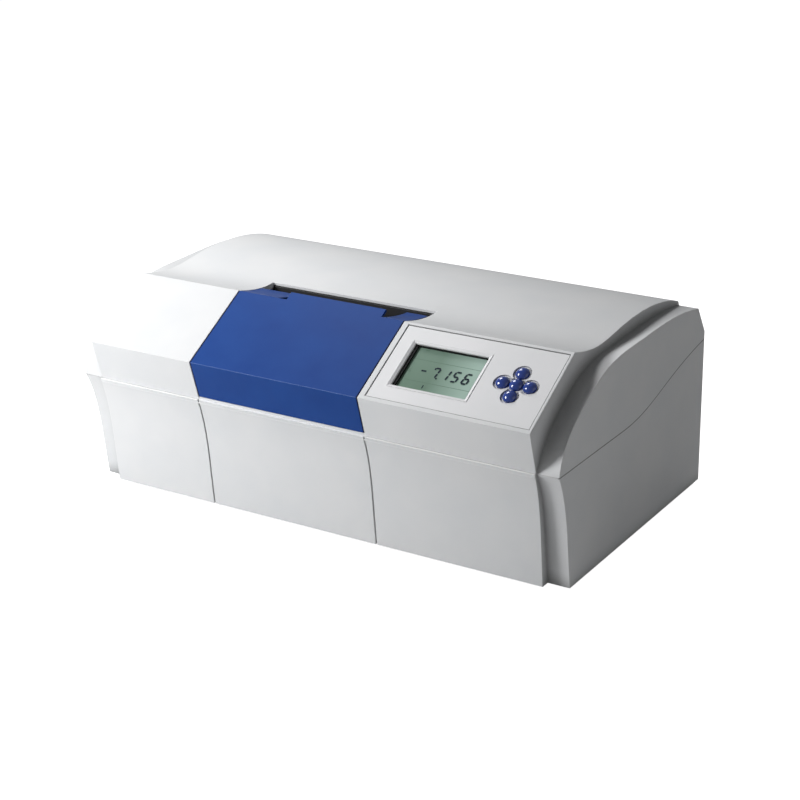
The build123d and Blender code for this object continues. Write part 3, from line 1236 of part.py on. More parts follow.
def fan_frame():
    """The cooling fan's square frame, with three arms that carry the bearing."""
    x, z, y1 = FAN_X, FLOOR_Z + FAN_H, REAR_INNER_Y
    y0 = y1 - FAN_DEPTH
    half = FAN_SIZE / 2
    frame = box(x - half, x + half, y0, y1, z - half, z + half)
    frame -= rod_y(FAN_BORE_R, x, y0 - 1, y1 + 1, z)
    for index in range(3):
        arm = box(x - 2, x + 2, y0, y0 + 2, z, z + FAN_BORE_R + 1)
        frame += Pos(x, 0, z) * Rot(0, 120 * index, 0) * Pos(-x, 0, -z) * arm
    frame += rod_y(8, x, y0, y0 + 2.5, z)
    return frame - rod_y(FAN_SHAFT_R + RUN_FIT, x, y0 - 1, y0 + 4, z)


def fan_rotor():
    """The fan's hub and its seven slanted blades, on a thin shaft."""
    x, z, y1 = FAN_X, FLOOR_Z + FAN_H, REAR_INNER_Y
    y0 = y1 - FAN_DEPTH + 3
    rotor = rod_y(FAN_HUB_R, x, y0, y1 - 2, z)
    middle = (y0 + y1 - 2) / 2
    for index in range(FAN_BLADES):
        blade = Pos(0, 0, (FAN_HUB_R + FAN_BORE_R) / 2 - 1) * Rot(0, 0, 38) * Box(
            1.4, 9.0, FAN_BORE_R - FAN_HUB_R - 0.8)
        rotor += Pos(x, middle, z) * Rot(0, 360 / FAN_BLADES * index, 0) * blade
    return rotor + rod_y(FAN_SHAFT_R, x, y0 - 2.8, y0 + 1, z)


def nodes():
    """Every sub-part by name."""
    parts = {
        "lower_case": lower_case, "upper_case": upper_case, "base_plate": base_plate,
        "rear_panel": rear_panel, "feet": feet, "case_screws": case_screws,
        "sample_lid": sample_lid, "lid_hinge_brackets": lid_hinge_brackets,
        "lid_hinge_pins": lid_hinge_pins, "lid_seal": lid_seal, "sample_chamber": sample_chamber,
        "chamber_windows": chamber_windows, "tube_trough": tube_trough, "sample_tube": sample_tube,
        "tube_caps": tube_caps, "tube_windows": tube_windows, "tube_washers": tube_washers,
        "optical_bench": optical_bench, "lamp_housing": lamp_housing, "lamp_socket": lamp_socket,
        "lamp": lamp, "condenser_lens": condenser_lens, "polariser": polariser,
        "modulator_bobbin": modulator_bobbin, "modulator_coil": modulator_coil,
        "analyser_wheel": analyser_wheel, "analyser_disc": analyser_disc,
        "analyser_block": analyser_block, "analyser_bearings": analyser_bearings,
        "drive_pinion": drive_pinion, "motor_shaft": motor_shaft, "servo_motor": servo_motor,
        "motor_bracket": motor_bracket, "interference_filter": interference_filter,
        "detector_housing": detector_housing, "phototube": phototube,
        "preamp_board": preamp_board, "control_panel": control_panel,
        "display_bezel": display_bezel, "display_frame": display_frame,
        "display_glass": display_glass, "display_board": display_board, "key_board": key_board,
        "transformer_core": transformer_core, "transformer_winding": transformer_winding,
        "main_board": main_board, "power_board": power_board, "board_standoffs": board_standoffs,
        "power_inlet": power_inlet, "power_switch": power_switch, "power_rocker": power_rocker,
        "serial_port": serial_port, "fan_frame": fan_frame, "fan_rotor": fan_rotor,
    }
    built = {name: make() for name, make in parts.items()}
    built["optic_mounts"] = group(optic_mount(CONDENSER_X, LENS_R), optic_mount(POLARISER_X, POLARISER_R),
                                  optic_mount(FILTER_X, POLARISER_R))
    for name, x, s in key_places():
        built[name] = key(x, s)
    return built


if __name__ == "__main__":
    os.makedirs("parts", exist_ok=True)
    for node_name, shape in nodes().items():
        export_step(shape, f"parts/{node_name}.step")
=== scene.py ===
import json
import math

import bpy
import numpy as np
from mathutils import Matrix, Vector


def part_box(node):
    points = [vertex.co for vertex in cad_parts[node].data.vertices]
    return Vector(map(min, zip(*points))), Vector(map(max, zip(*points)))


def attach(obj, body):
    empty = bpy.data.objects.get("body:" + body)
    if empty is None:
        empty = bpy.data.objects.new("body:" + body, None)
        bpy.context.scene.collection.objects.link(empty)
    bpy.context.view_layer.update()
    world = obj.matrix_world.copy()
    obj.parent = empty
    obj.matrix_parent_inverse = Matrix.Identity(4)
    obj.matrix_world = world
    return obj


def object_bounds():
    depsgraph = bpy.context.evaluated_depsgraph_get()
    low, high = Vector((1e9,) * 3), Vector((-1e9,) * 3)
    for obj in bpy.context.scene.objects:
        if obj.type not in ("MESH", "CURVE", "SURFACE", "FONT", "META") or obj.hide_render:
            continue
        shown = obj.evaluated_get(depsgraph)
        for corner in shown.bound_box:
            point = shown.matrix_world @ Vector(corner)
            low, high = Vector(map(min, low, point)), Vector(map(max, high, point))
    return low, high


# The looks of a bench polarimeter: moulded off-white shells, a blue sample lid, a sloped panel with
# a liquid-crystal display and five domed keys. Lengths are in metres, worked out from millimetres.

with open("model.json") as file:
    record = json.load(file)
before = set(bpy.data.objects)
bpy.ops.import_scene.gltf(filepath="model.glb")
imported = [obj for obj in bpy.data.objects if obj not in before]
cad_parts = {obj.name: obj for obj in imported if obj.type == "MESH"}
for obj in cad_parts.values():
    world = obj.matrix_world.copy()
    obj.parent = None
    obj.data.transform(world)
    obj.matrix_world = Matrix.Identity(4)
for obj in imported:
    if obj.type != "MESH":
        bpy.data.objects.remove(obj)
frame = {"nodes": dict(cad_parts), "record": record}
CAD_LOW, CAD_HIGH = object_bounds()
MM = 0.001

# Sloped face of the upper shell
SLOPE = math.radians(30.2)
ACROSS = np.array([1.0, 0.0, 0.0])
UP_SLOPE = np.array([0.0, math.cos(SLOPE), math.sin(SLOPE)])
OUT_OF_SLOPE = np.array([0.0, -math.sin(SLOPE), math.cos(SLOPE)])

# Shells: half the length of the main block, the height of the lower shell's lip, and of the slope's
# front edge; the painted shade line where the shells meet is as wide as two halves, and a share as
# bright
MAIN_X = 275.0 * MM
LIP_Z = 136.0 * MM
BROW_Z = 183.0 * MM
JOINT_HALF = 0.35 * MM
JOINT_SHARE = 0.25
JOINT_STEPS = 17

# Display: the figures by their middles, in mm across the glass from its middle
GLASS_T = 2.8 * MM
DIGIT_H = 15.0 * MM
DIGIT_W = 8.2 * MM
DIGIT_LEAN = math.tan(math.radians(9.0))
SEGMENT_W = 2.1 * MM
SEGMENT_GAP = 0.15 * MM
INK_T = 0.04 * MM
# The painted shadow copy of the reading sits shifted by this much.
SHADE_SHIFT = (0.7 * MM, -0.8 * MM)
READING = (("7", -7.5), ("1", 5.1), ("5", 16.9), ("6", 29.4))
SEGMENTS = {"7": "abc", "1": "bc", "5": "afgcd", "6": "afgcde"}

# Upright bars on the glass, in mm: across, up, width, height
MINUS = (-20.8, 0.0, 6.0, 2.0)
SEVEN_HOOK = (-9.4, 5.2, 1.8, 2.6)
POINT = (-3.2, -6.6, 1.9, 1.9)
TICK = (-12.2, -20.0, 1.1, 4.4)
FAINT_RULES = ((0.0, 13.6, 79.0, 0.5), (0.0, -14.4, 79.0, 0.5))
FAINT_MARKS = ((-37.4, -2.6, 1.2, 3.0), (-35.4, -3.4, 1.2, 2.2), (-29.7, 26.6, 5.0, 1.0))

# Camera, from a fit of the photograph's outline
CAMERA_AZIMUTH = math.radians(32.35)
CAMERA_ELEVATION = math.radians(21.03)
CAMERA_ROLL = math.radians(-1.0)
CAMERA_DISTANCE = 2.0637
CAMERA_TARGET = Vector((0.0383, -0.0383, 0.1258))
CAMERA_FOCAL_PX = 1886.7
PHOTO_PX = 800
SENSOR_MM = 36.0

# Lamps, from a fit of the photograph's tones that was then trimmed: place, size and watts
LAMP_AIM = (0.0, -0.1, 0.15)
LAMPS = {"key_softbox": ((-0.735, -0.835, 0.75), 0.35, 12.9),
         "back_softbox": ((-0.709, 0.454, 1.222), 0.5, 9.5),
         "right_softbox": ((1.851, -0.426, 0.834), 1.5, 4.2)}

# Strengths of the surround and of the floor's glow: seen directly, off a gloss, and as light
SKY_STRENGTH = (1.0, 0.3, 0.05)
FLOOR_GLOW = (1.0, 0.1, 0.0)
FLOOR_HALF = 20.0


# Helpers

def colour(code):
    """A hex sRGB colour, such as #d8dadc, as the linear values that a socket takes."""
    shares = [int(code[at:at + 2], 16) / 255 for at in (1, 3, 5)]
    return [c / 12.92 if c <= 0.04045 else ((c + 0.055) / 1.055) ** 2.4 for c in shares] + [1.0]


def add(tree, kind, values=None, links=None, **settings):
    """Adds a node: its settings, its sockets' own values, and links from other sockets."""
    node = tree.nodes.new(kind)
    for name, value in settings.items():
        setattr(node, name, value)
    for name, value in (values or {}).items():
        node.inputs[name].default_value = value
    for name, socket in (links or {}).items():
        tree.links.new(socket, node.inputs[name])
    return node


def material(name):
    """An empty material with its principled shader, and the object's own coordinates."""
    made = bpy.data.materials.new(name)
    made.use_nodes = True
    tree = made.node_tree
    tree.nodes.clear()
    shader = add(tree, "ShaderNodeBsdfPrincipled")
    add(tree, "ShaderNodeOutputMaterial", links={"Surface": shader.outputs["BSDF"]})
    place = add(tree, "ShaderNodeTexCoord").outputs["Object"]
    return made, tree, shader, place


def noise(tree, place, size_mm, detail=3.0, stretch=(1, 1, 1)):
    """Noise whose blotches are about size_mm across, stretched along the axes by shares."""
    drawn_out = add(tree, "ShaderNodeMapping", links={"Vector": place}, values={"Scale": stretch})
    return add(tree, "ShaderNodeTexNoise", links={"Vector": drawn_out.outputs["Vector"]},
               values={"Scale": 1.0 / (size_mm * MM), "Detail": detail, "Roughness": 0.55}
               ).outputs["Fac"]


def between(tree, share, low, high, start=0.3, end=0.7):
    """A number that goes from low to high as the share goes from start to end."""
    return add(tree, "ShaderNodeMapRange", links={"Value": share},
               values={"From Min": start, "From Max": end, "To Min": low, "To Max": high}
               ).outputs["Result"]


def tint(tree, share, dark, light, start=0.3, end=0.7):
    """A colour between two hex colours, led by a share."""
    ramp = add(tree, "ShaderNodeValToRGB", links={"Fac": share})
    ramp.color_ramp.elements[0].position = start
    ramp.color_ramp.elements[0].color = colour(dark)
    ramp.color_ramp.elements[1].position = end
    ramp.color_ramp.elements[1].color = colour(light)
    return ramp.outputs["Color"]


def rounding(tree, edge_mm):
    """The surface direction where edges are rounded by a radius."""
    return add(tree, "ShaderNodeBevel", values={"Radius": edge_mm * MM}, samples=4).outputs["Normal"]


def maths(tree, operation, *terms):
    """The result of a math node; each term is a number or another node's socket."""
    node = add(tree, "ShaderNodeMath", operation=operation)
    for at, term in enumerate(terms):
        if isinstance(term, (int, float)):
            node.inputs[at].default_value = term
        else:
            tree.links.new(term, node.inputs[at])
    return node.outputs["Value"]


def axes_of(tree, vector):
    """The X, Y and Z sockets of a vector."""
    return add(tree, "ShaderNodeSeparateXYZ", links={"Vector": vector}).outputs


def apart(tree, first, second):
    """The distance between two numbers."""
    return maths(tree, "ABSOLUTE", maths(tree, "SUBTRACT", first, second))


def edge_highlight_share(tree, edge_mm):
    """A share that is 1 on an edge and 0 away from it: how far the rounding turns the surface; it leads
    painted edge highlights.
    """
    plain = add(tree, "ShaderNodeNewGeometry").outputs["Normal"]
    both = add(tree, "ShaderNodeVectorMath", operation="DOT_PRODUCT",
               links={0: rounding(tree, edge_mm), 1: plain}).outputs["Value"]
    return between(tree, both, 1.0, 0.0, 0.82, 0.98)


def occlusion_shade(tree, reach_mm, least, start, end):
    """A painted shade: a share that falls to a least value where walls stand within reach."""
    seen = add(tree, "ShaderNodeAmbientOcclusion", samples=8, values={"Distance": reach_mm * MM})
    return between(tree, seen.outputs["AO"], least, 1.0, start, end)


def scaled(tree, tone, share):
    """A colour times a share."""
    return add(tree, "ShaderNodeVectorMath", operation="SCALE",
               links={0: tone, "Scale": share}).outputs["Vector"]


def painted_light_or_shade(tree, tone, edge, code):
    """A colour with a painted highlight or a painted shade in another colour, where a share leads."""
    painted_tone = add(tree, "ShaderNodeRGB").outputs["Color"]
    painted_tone.default_value = colour(code)
    both = add(tree, "ShaderNodeMixRGB", links={"Fac": edge, "Color1": tone, "Color2": painted_tone})
    return both.outputs["Color"]


def relief(tree, shader, height, depth_mm, edge_mm=0.0):
    """Bump of a real depth, over edges that are rounded by a radius."""
    links = {"Height": height}
    if edge_mm:
        links["Normal"] = rounding(tree, edge_mm)
    bump = add(tree, "ShaderNodeBump", values={"Strength": 1.0, "Distance": depth_mm * MM}, links=links)
    tree.links.new(bump.outputs["Normal"], shader.inputs["Normal"])


def stripes(tree, place, axis, pitch_mm):
    """Bands across one axis, one every pitch_mm: the node draws one in 2 pi / 20 at a scale of 1."""
    return add(tree, "ShaderNodeTexWave", links={"Vector": place}, bands_direction=axis,
               values={"Scale": 2 * math.pi / (20 * pitch_mm * MM)}).outputs["Fac"]


# Materials

def joint_rim():
    """The lower shell's rim on its right end face: depth and height of its points, front to back."""
    mesh = frame["nodes"]["lower_case"].data
    places = np.empty(3 * len(mesh.vertices))
    mesh.vertices.foreach_get("co", places)
    places = places.reshape(-1, 3)
    rim = places[(places[:, 0] > CAD_HIGH.x - 0.1 * MM) & (places[:, 2] > LIP_Z - 0.5 * MM)]
    return rim[np.argsort(rim[:, 1]), 1:].T


def joint_shade_line(tree, axes):
    """A painted shade: a share that is low along the end faces' joint, and 1 elsewhere.

    The joint's height over its depth is the lower shell's rim, kept in a curve of even steps.
    """
    depth, height = joint_rim()
    low, high = height.min(), height.max()
    curve = add(tree, "ShaderNodeFloatCurve")
    points = curve.mapping.curves[0].points
    steps = np.linspace(0, 1, JOINT_STEPS)
    rises = (np.interp(depth[0] + steps * (depth[-1] - depth[0]), depth, height) - low) / (high - low)
    points[0].location, points[1].location = (0, rises[0]), (1, rises[-1])
    for step, rise in zip(steps[1:-1], rises[1:-1]):
        points.new(step, rise)
    curve.mapping.update()
    tree.links.new(between(tree, axes["Y"], 0.0, 1.0, depth[0], depth[-1]), curve.inputs["Value"])
    joint = between(tree, curve.outputs["Value"], low, high, 0.0, 1.0)
    on_line = between(tree, apart(tree, axes["Z"], joint), 1.0, 0.0, JOINT_HALF, 2 * JOINT_HALF)
    from_end = CAD_HIGH.x - 1.5 * MM
    on_end = between(tree, apart(tree, axes["X"], 0.0), 0.0, 1.0, from_end, from_end + 0.5 * MM)
    return between(tree, maths(tree, "MULTIPLY", on_line, on_end), 1.0, JOINT_SHARE, 0.0, 1.0)


def lip_highlight_share(tree, axes):
    """A share that is 1 on the level top of the lower shell's lip, and 0 elsewhere: it leads a painted
    highlight.
    """
    up = axes_of(tree, add(tree, "ShaderNodeNewGeometry").outputs["Normal"])["Z"]
    level = between(tree, apart(tree, axes["Z"], LIP_Z), 1.0, 0.0, 1.2 * MM, 1.6 * MM)
    return maths(tree, "MULTIPLY", between(tree, up, 0.0, 1.0, 0.6, 0.8), level)


def cap_shade(tree, axes):
    """A painted shade: a share that falls in the wide corners beside the end caps, past the main block.
    """
    past = between(tree, apart(tree, axes["X"], 0.0), 0.0, 1.0, MAIN_X - 1 * MM, MAIN_X - 0.5 * MM)
    loss = maths(tree, "SUBTRACT", 1.0, occlusion_shade(tree, 24.0, 0.0, 0.3, 0.92))
    return between(tree, maths(tree, "MULTIPLY", loss, past), 1.0, 0.25, 0.0, 1.0)


def moulded_shell():
    """ABS, injection moulded in a spark-eroded tool: off-white, satin, with a fine even grain.

    Its edges carry a painted highlight and the level top of its lip is painted white as a highlight;
    gaps, corners and the end faces' joint are darkened with painted shade.
    """
    made, tree, shader, place = material("abs_off_white")
    axes = axes_of(tree, place)
    grain = noise(tree, place, 0.9, detail=2.0)
    cloud = noise(tree, place, 60.0, detail=2.0)
    # Painted highlight on the edges of the shells.
    tone = painted_light_or_shade(tree, tint(tree, cloud, "#dfe1e3", "#e4e5e6"), edge_highlight_share(tree, 1.0), "#fbfbfc")
    # Painted highlight: the level top of the lower shell's lip is white.
    tone = painted_light_or_shade(tree, tone, lip_highlight_share(tree, axes), "#ffffff")
    # Painted shade: darker in the wide corners by the end caps, in gaps and hollows, and along the end
    # faces' joint.
    for share in (cap_shade(tree, axes), occlusion_shade(tree, 4.0, 0.06, 0.1, 0.42), joint_shade_line(tree, axes)):
        tone = scaled(tree, tone, share)
    tree.links.new(tone, shader.inputs["Base Color"])
    tree.links.new(between(tree, grain, 0.44, 0.56), shader.inputs["Roughness"])
    shader.inputs["Specular IOR Level"].default_value = 0.3
    relief(tree, shader, grain, 0.035, edge_mm=0.7)
    return made


def moulded_lid():
    """ABS, dyed blue and moulded in a finer tool than the shells, so it has a soft sheen.

    Its fold in front has a painted highlight, its two ends a painted shade of the gap beside them, and
    its gaps a painted shade.
    """
    made, tree, shader, place = material("abs_blue")
    grain = noise(tree, place, 0.8, detail=2.0)
    cloud = noise(tree, place, 45.0, detail=3.0)
    axes = axes_of(tree, place)
    at_brow = between(tree, apart(tree, axes["Z"], BROW_Z), 1.0, 0.0, 1.5 * MM, 2.0 * MM)
    # Painted highlight along the lid's front fold.
    fold_highlight = maths(tree, "MULTIPLY", at_brow, edge_highlight_share(tree, 1.2))
    tone = painted_light_or_shade(tree, tint(tree, cloud, "#1b4188", "#204890"), fold_highlight, "#7b95cf")
    low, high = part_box("sample_lid")
    middle, half = (low.x + high.x) / 2, (high.x - low.x) / 2
    # Painted shade: the lid's two ends are darker for the shade of the gap beside them, and it is darker
    # where walls stand close.
    ends = between(tree, apart(tree, axes["X"], middle), 0.0, 1.0, half - 1.3 * MM, half - 0.9 * MM)
    tone = scaled(tree, painted_light_or_shade(tree, tone, ends, "#101f49"), occlusion_shade(tree, 4.0, 0.15, 0.1, 0.5))
    tree.links.new(tone, shader.inputs["Base Color"])
    tree.links.new(between(tree, cloud, 0.42, 0.5), shader.inputs["Roughness"])
    shader.inputs["Specular IOR Level"].default_value = 0.1
    relief(tree, shader, grain, 0.02, edge_mm=0.8)
    return made


def panel_plate():
    """ABS again, whiter and smoother than the shells: the panel plate and the display's bezel."""
    made, tree, shader, place = material("abs_panel_white")
    grain = noise(tree, place, 0.6, detail=2.0)
    cloud = noise(tree, place, 40.0)
    # Painted highlight on the plate's edges, and painted shade in its gaps and hollows.
    tone = painted_light_or_shade(tree, tint(tree, cloud, "#e8e9eb", "#ececee"), edge_highlight_share(tree, 0.8), "#fdfdfe")
    tone = scaled(tree, tone, occlusion_shade(tree, 5.0, 0.03, 0.12, 0.48))
    tree.links.new(tone, shader.inputs["Base Color"])
    tree.links.new(between(tree, grain, 0.40, 0.48), shader.inputs["Roughness"])
    shader.inputs["Specular IOR Level"].default_value = 0.3
    relief(tree, shader, grain, 0.012, edge_mm=0.4)
    return made


def key_caps():
    """Navy ABS from a polished tool: a glossy dome that shows the lamps, with faint finger marks."""
    made, tree, shader, place = material("abs_navy_gloss")
    smear = noise(tree, place, 3.0, detail=4.0)
    tree.links.new(tint(tree, smear, "#1f3a8a", "#284698"), shader.inputs["Base Color"])
    tree.links.new(between(tree, smear, 0.10, 0.20), shader.inputs["Roughness"])
    shader.inputs["IOR"].default_value = 1.55
    shader.inputs["Coat Weight"].default_value = 0.3
    relief(tree, shader, noise(tree, place, 2.0), 0.01)
    return made


def black_plastic():
    """Glass-filled nylon, moulded black: matt, with a faint grey cast from the fibres."""
    made, tree, shader, place = material("nylon_black")
    grain = noise(tree, place, 0.8, detail=4.0)
    tree.links.new(tint(tree, grain, "#131314", "#222224"), shader.inputs["Base Color"])
    tree.links.new(between(tree, grain, 0.48, 0.66), shader.inputs["Roughness"])
    shader.inputs["IOR"].default_value = 1.53
    relief(tree, shader, grain, 0.03, edge_mm=0.3)
    return made


def black_anodised():
    """Aluminium, machined, beaded and anodised black: a dull metal that keeps a soft edge glint."""
    made, tree, shader, place = material("aluminium_black_anodised")
    grain = noise(tree, place, 0.5, detail=4.0)
    tree.links.new(tint(tree, grain, "#0b0b0c", "#161718"), shader.inputs["Base Color"])
    tree.links.new(between(tree, grain, 0.38, 0.52), shader.inputs["Roughness"])
    shader.inputs["Metallic"].default_value = 0.6
    relief(tree, shader, grain, 0.015, edge_mm=0.3)
    return made


def crystal_glass():
    """A reflective liquid-crystal cell under glass: grey-green, with a painted reflection that makes it
    paler towards its right-hand side and a little towards its top.
    """
    made, tree, shader, place = material("glass_liquid_crystal")
    low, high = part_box("display_glass")
    axes = axes_of(tree, place)
    # Painted reflection: paler towards the right-hand side and a little towards the top.
    side = between(tree, axes["X"], 0.0, 0.85, 0.6 * low.x + 0.4 * high.x, 0.1 * low.x + 0.9 * high.x)
    share = maths(tree, "ADD", side, between(tree, axes["Z"], 0.0, 0.15, low.z, high.z))
    cloud = noise(tree, place, 25.0)
    tree.links.new(tint(tree, share, "#6b8675", "#aec9bd", 0.0, 1.0), shader.inputs["Base Color"])
    tree.links.new(between(tree, cloud, 0.30, 0.36), shader.inputs["Roughness"])
    shader.inputs["Specular IOR Level"].default_value = 0.1
    shader.inputs["Coat Weight"].default_value = 0.4
    shader.inputs["Coat Roughness"].default_value = 0.05
    return made


def display_ink_or_shadow(name, dark, light):
    """Segments of the liquid crystal that are switched on, or a painted shadow that stands for the shade
    they throw.
    """
    made, tree, shader, place = material(name)
    fine = noise(tree, place, 1.0)
    tree.links.new(tint(tree, fine, dark, light), shader.inputs["Base Color"])
    tree.links.new(between(tree, fine, 0.40, 0.48), shader.inputs["Roughness"])
    shader.inputs["Specular IOR Level"].default_value = 0.1
    return made


def glass(name, code, dusty_code):
    """Ground and polished glass: clear, with its tint and a breath of dust."""
    made, tree, shader, place = material(name)
    dust = noise(tree, place, 2.0, detail=5.0)
    tree.links.new(tint(tree, dust, dusty_code, code), shader.inputs["Base Color"])
    tree.links.new(between(tree, dust, 0.02, 0.07), shader.inputs["Roughness"])
    shader.inputs["Transmission Weight"].default_value = 1.0
    shader.inputs["IOR"].default_value = 1.47
    return made


def rubber():
    """Nitrile rubber, pressed: matt black-grey with a dusty bloom."""
    made, tree, shader, place = material("rubber_nitrile")
    bloom = noise(tree, place, 4.0, detail=6.0)
    tree.links.new(tint(tree, bloom, "#161617", "#2b2b2c"), shader.inputs["Base Color"])
    tree.links.new(between(tree, bloom, 0.75, 0.92), shader.inputs["Roughness"])
    relief(tree, shader, noise(tree, place, 0.8), 0.04, edge_mm=0.4)
    return made


def zinc_steel():
    """Steel with a bright zinc plate: a hard grey metal with fine drawn streaks."""
    made, tree, shader, place = material("steel_zinc_plated")
    streak = noise(tree, place, 0.6, detail=4.0, stretch=(0.08, 1, 1))
    tree.links.new(tint(tree, streak, "#a7abb0", "#cfd2d6"), shader.inputs["Base Color"])
    tree.links.new(between(tree, streak, 0.22, 0.38), shader.inputs["Roughness"])
    shader.inputs["Metallic"].default_value = 1.0
    relief(tree, shader, streak, 0.006, edge_mm=0.2)
    return made


def zinc_sheet():
    """Zinc-coated sheet steel: a rolled face with pale crystal spangles about 8 mm across."""
    made, tree, shader, place = material("steel_sheet_spangled")
    spangle = add(tree, "ShaderNodeTexVoronoi", links={"Vector": place},
                  values={"Scale": 1 / (8 * MM)}, feature="F1").outputs["Color"]
    share = add(tree, "ShaderNodeSeparateColor", links={"Color": spangle}).outputs["Red"]
    tree.links.new(tint(tree, share, "#9ba0a5", "#c9ccd0", 0.0, 1.0), shader.inputs["Base Color"])
    tree.links.new(between(tree, share, 0.28, 0.46, 0.0, 1.0), shader.inputs["Roughness"])
    shader.inputs["Metallic"].default_value = 1.0
    relief(tree, shader, noise(tree, place, 1.2), 0.01, edge_mm=0.3)
    return made


def cast_aluminium():
    """Aluminium, sand cast and then milled: a grainy dull skin."""
    made, tree, shader, place = material("aluminium_cast")
    grain = noise(tree, place, 1.4, detail=5.0)
    tree.links.new(tint(tree, grain, "#9a9da0", "#c3c5c8"), shader.inputs["Base Color"])
    tree.links.new(between(tree, grain, 0.42, 0.6), shader.inputs["Roughness"])
    shader.inputs["Metallic"].default_value = 1.0
    relief(tree, shader, grain, 0.08, edge_mm=0.4)
    return made


def powder_coat():
    """Steel sheet under grey powder paint: an orange-peel skin with waves about 1.5 mm long."""
    made, tree, shader, place = material("powder_coat_grey")
    peel = noise(tree, place, 1.5, detail=1.0)
    cloud = noise(tree, place, 50.0)
    tree.links.new(tint(tree, cloud, "#c3c6c9", "#cccfd1"), shader.inputs["Base Color"])
    tree.links.new(between(tree, peel, 0.38, 0.5), shader.inputs["Roughness"])
    relief(tree, shader, peel, 0.05, edge_mm=0.2)
    return made


def turned_brass():
    """Brass, turned on a lathe about X: rings 0.5 mm apart round the optical axis."""
    made, tree, shader, place = material("brass_turned")
    rings = add(tree, "ShaderNodeTexWave", links={"Vector": place}, wave_type="RINGS",
                rings_direction="X", values={"Scale": 2 * math.pi / (20 * 0.5 * MM)}).outputs["Fac"]
    stain = noise(tree, place, 6.0, detail=4.0)
    tree.links.new(tint(tree, stain, "#b18a44", "#d2ad62"), shader.inputs["Base Color"])
    tree.links.new(between(tree, stain, 0.2, 0.36), shader.inputs["Roughness"])
    shader.inputs["Metallic"].default_value = 1.0
    relief(tree, shader, rings, 0.01, edge_mm=0.15)
    return made


def enamelled_wire():
    """Copper wire under clear enamel, wound in turns drawn 0.9 mm apart."""
    made, tree, shader, place = material("copper_enamelled")
    turns = stripes(tree, place, "X", 0.9)
    layer = noise(tree, place, 5.0)
    tree.links.new(tint(tree, layer, "#8c3f1c", "#b9602c"), shader.inputs["Base Color"])
    tree.links.new(between(tree, layer, 0.22, 0.34), shader.inputs["Roughness"])
    shader.inputs["Metallic"].default_value = 0.9
    shader.inputs["Coat Weight"].default_value = 0.6
    relief(tree, shader, turns, 0.35)
    return made


def core_laminations():
    """Silicon-steel sheets stacked front to back, drawn 1 mm thick, with a blue-grey scale."""
    made, tree, shader, place = material("steel_laminations")
    stack = stripes(tree, place, "Y", 1.0)
    scale = noise(tree, place, 7.0, detail=5.0)
    tree.links.new(tint(tree, scale, "#4a4f55", "#6e747a"), shader.inputs["Base Color"])
    tree.links.new(between(tree, scale, 0.45, 0.65), shader.inputs["Roughness"])
    shader.inputs["Metallic"].default_value = 0.8
    relief(tree, shader, stack, 0.15)
    return made


def circuit_board():
    """Glass-epoxy board under green solder mask; tracks and lands show as paler cells."""
    made, tree, shader, place = material("board_solder_mask")
    cells = add(tree, "ShaderNodeTexVoronoi", links={"Vector": place}, feature="F1",
                distance="CHEBYCHEV", values={"Scale": 1 / (5.08 * MM), "Randomness": 0.6})
    edge = between(tree, cells.outputs["Distance"], 0.0, 1.0, 0.28, 0.34)
    tree.links.new(tint(tree, edge, "#0e4a2a", "#176a3c", 0.0, 1.0), shader.inputs["Base Color"])
    tree.links.new(between(tree, edge, 0.25, 0.35, 0.0, 1.0), shader.inputs["Roughness"])
    shader.inputs["Coat Weight"].default_value = 0.4
    relief(tree, shader, edge, 0.035)
    return made


def glazed_ceramic():
    """Steatite, pressed, fired and glazed: warm white with a wet gloss."""
    made, tree, shader, place = material("ceramic_glazed")
    cloud = noise(tree, place, 6.0)
    tree.links.new(tint(tree, cloud, "#dcd6c8", "#e9e4d8"), shader.inputs["Base Color"])
    tree.links.new(between(tree, cloud, 0.12, 0.25), shader.inputs["Roughness"])
    shader.inputs["Coat Weight"].default_value = 0.5
    relief(tree, shader, cloud, 0.02, edge_mm=0.3)
    return made


def slot_materials():
    """One material for each slot of the record."""
    return {
        "housing_abs": moulded_shell(), "lid_abs": moulded_lid(), "panel_abs": panel_plate(),
        "key_blue": key_caps(), "black_plastic": black_plastic(), "black_metal": black_anodised(),
        "lcd_glass": crystal_glass(), "clear_glass": glass("glass_clear", "#f6faf8", "#e9f1ed"),
        "rubber": rubber(), "steel": zinc_steel(), "cast_alu": cast_aluminium(),
        "sheet": zinc_sheet(), "rear_sheet": powder_coat(), "brass": turned_brass(),
        "copper": enamelled_wire(), "board": circuit_board(), "ceramic": glazed_ceramic(),
        "dark_glass": glass("glass_polarising", "#5a5f66", "#4a4e55"),
        "amber_glass": glass("glass_filter_amber", "#e0a032", "#c98a22"),
    }


def dress_nodes(finishes):
    """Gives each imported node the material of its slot; the iron core has one of its own."""
    for row in frame["record"]["subparts"]:
        node = frame["nodes"][row["node"]]
        made = finishes[row["material_slot"]]
        if row["node"] == "transformer_core":
            made = core_laminations()
        node.data.materials.clear()
        node.data.materials.append(made)


# Pieces

def piece(name, points, faces, finish, body):
    """A mesh piece in the frame's own place, with its material, riding on a body."""
    mesh = bpy.data.meshes.new(name)
    mesh.from_pydata(points.tolist(), [], faces)
    mesh.materials.append(finish)
    made = bpy.data.objects.new(name, mesh)
    bpy.context.scene.collection.objects.link(made)
    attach(made, body)
    return made


def glass_point(across, up, out):
    """A place on the display's glass: from the middle of its top face, in the slope's directions."""
    low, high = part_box("display_glass")
    middle = (np.array(low) + np.array(high)) / 2 + OUT_OF_SLOPE * GLASS_T / 2
    return (middle + np.multiply.outer(across, ACROSS) + np.multiply.outer(up, UP_SLOPE)
            + np.multiply.outer(out, OUT_OF_SLOPE))


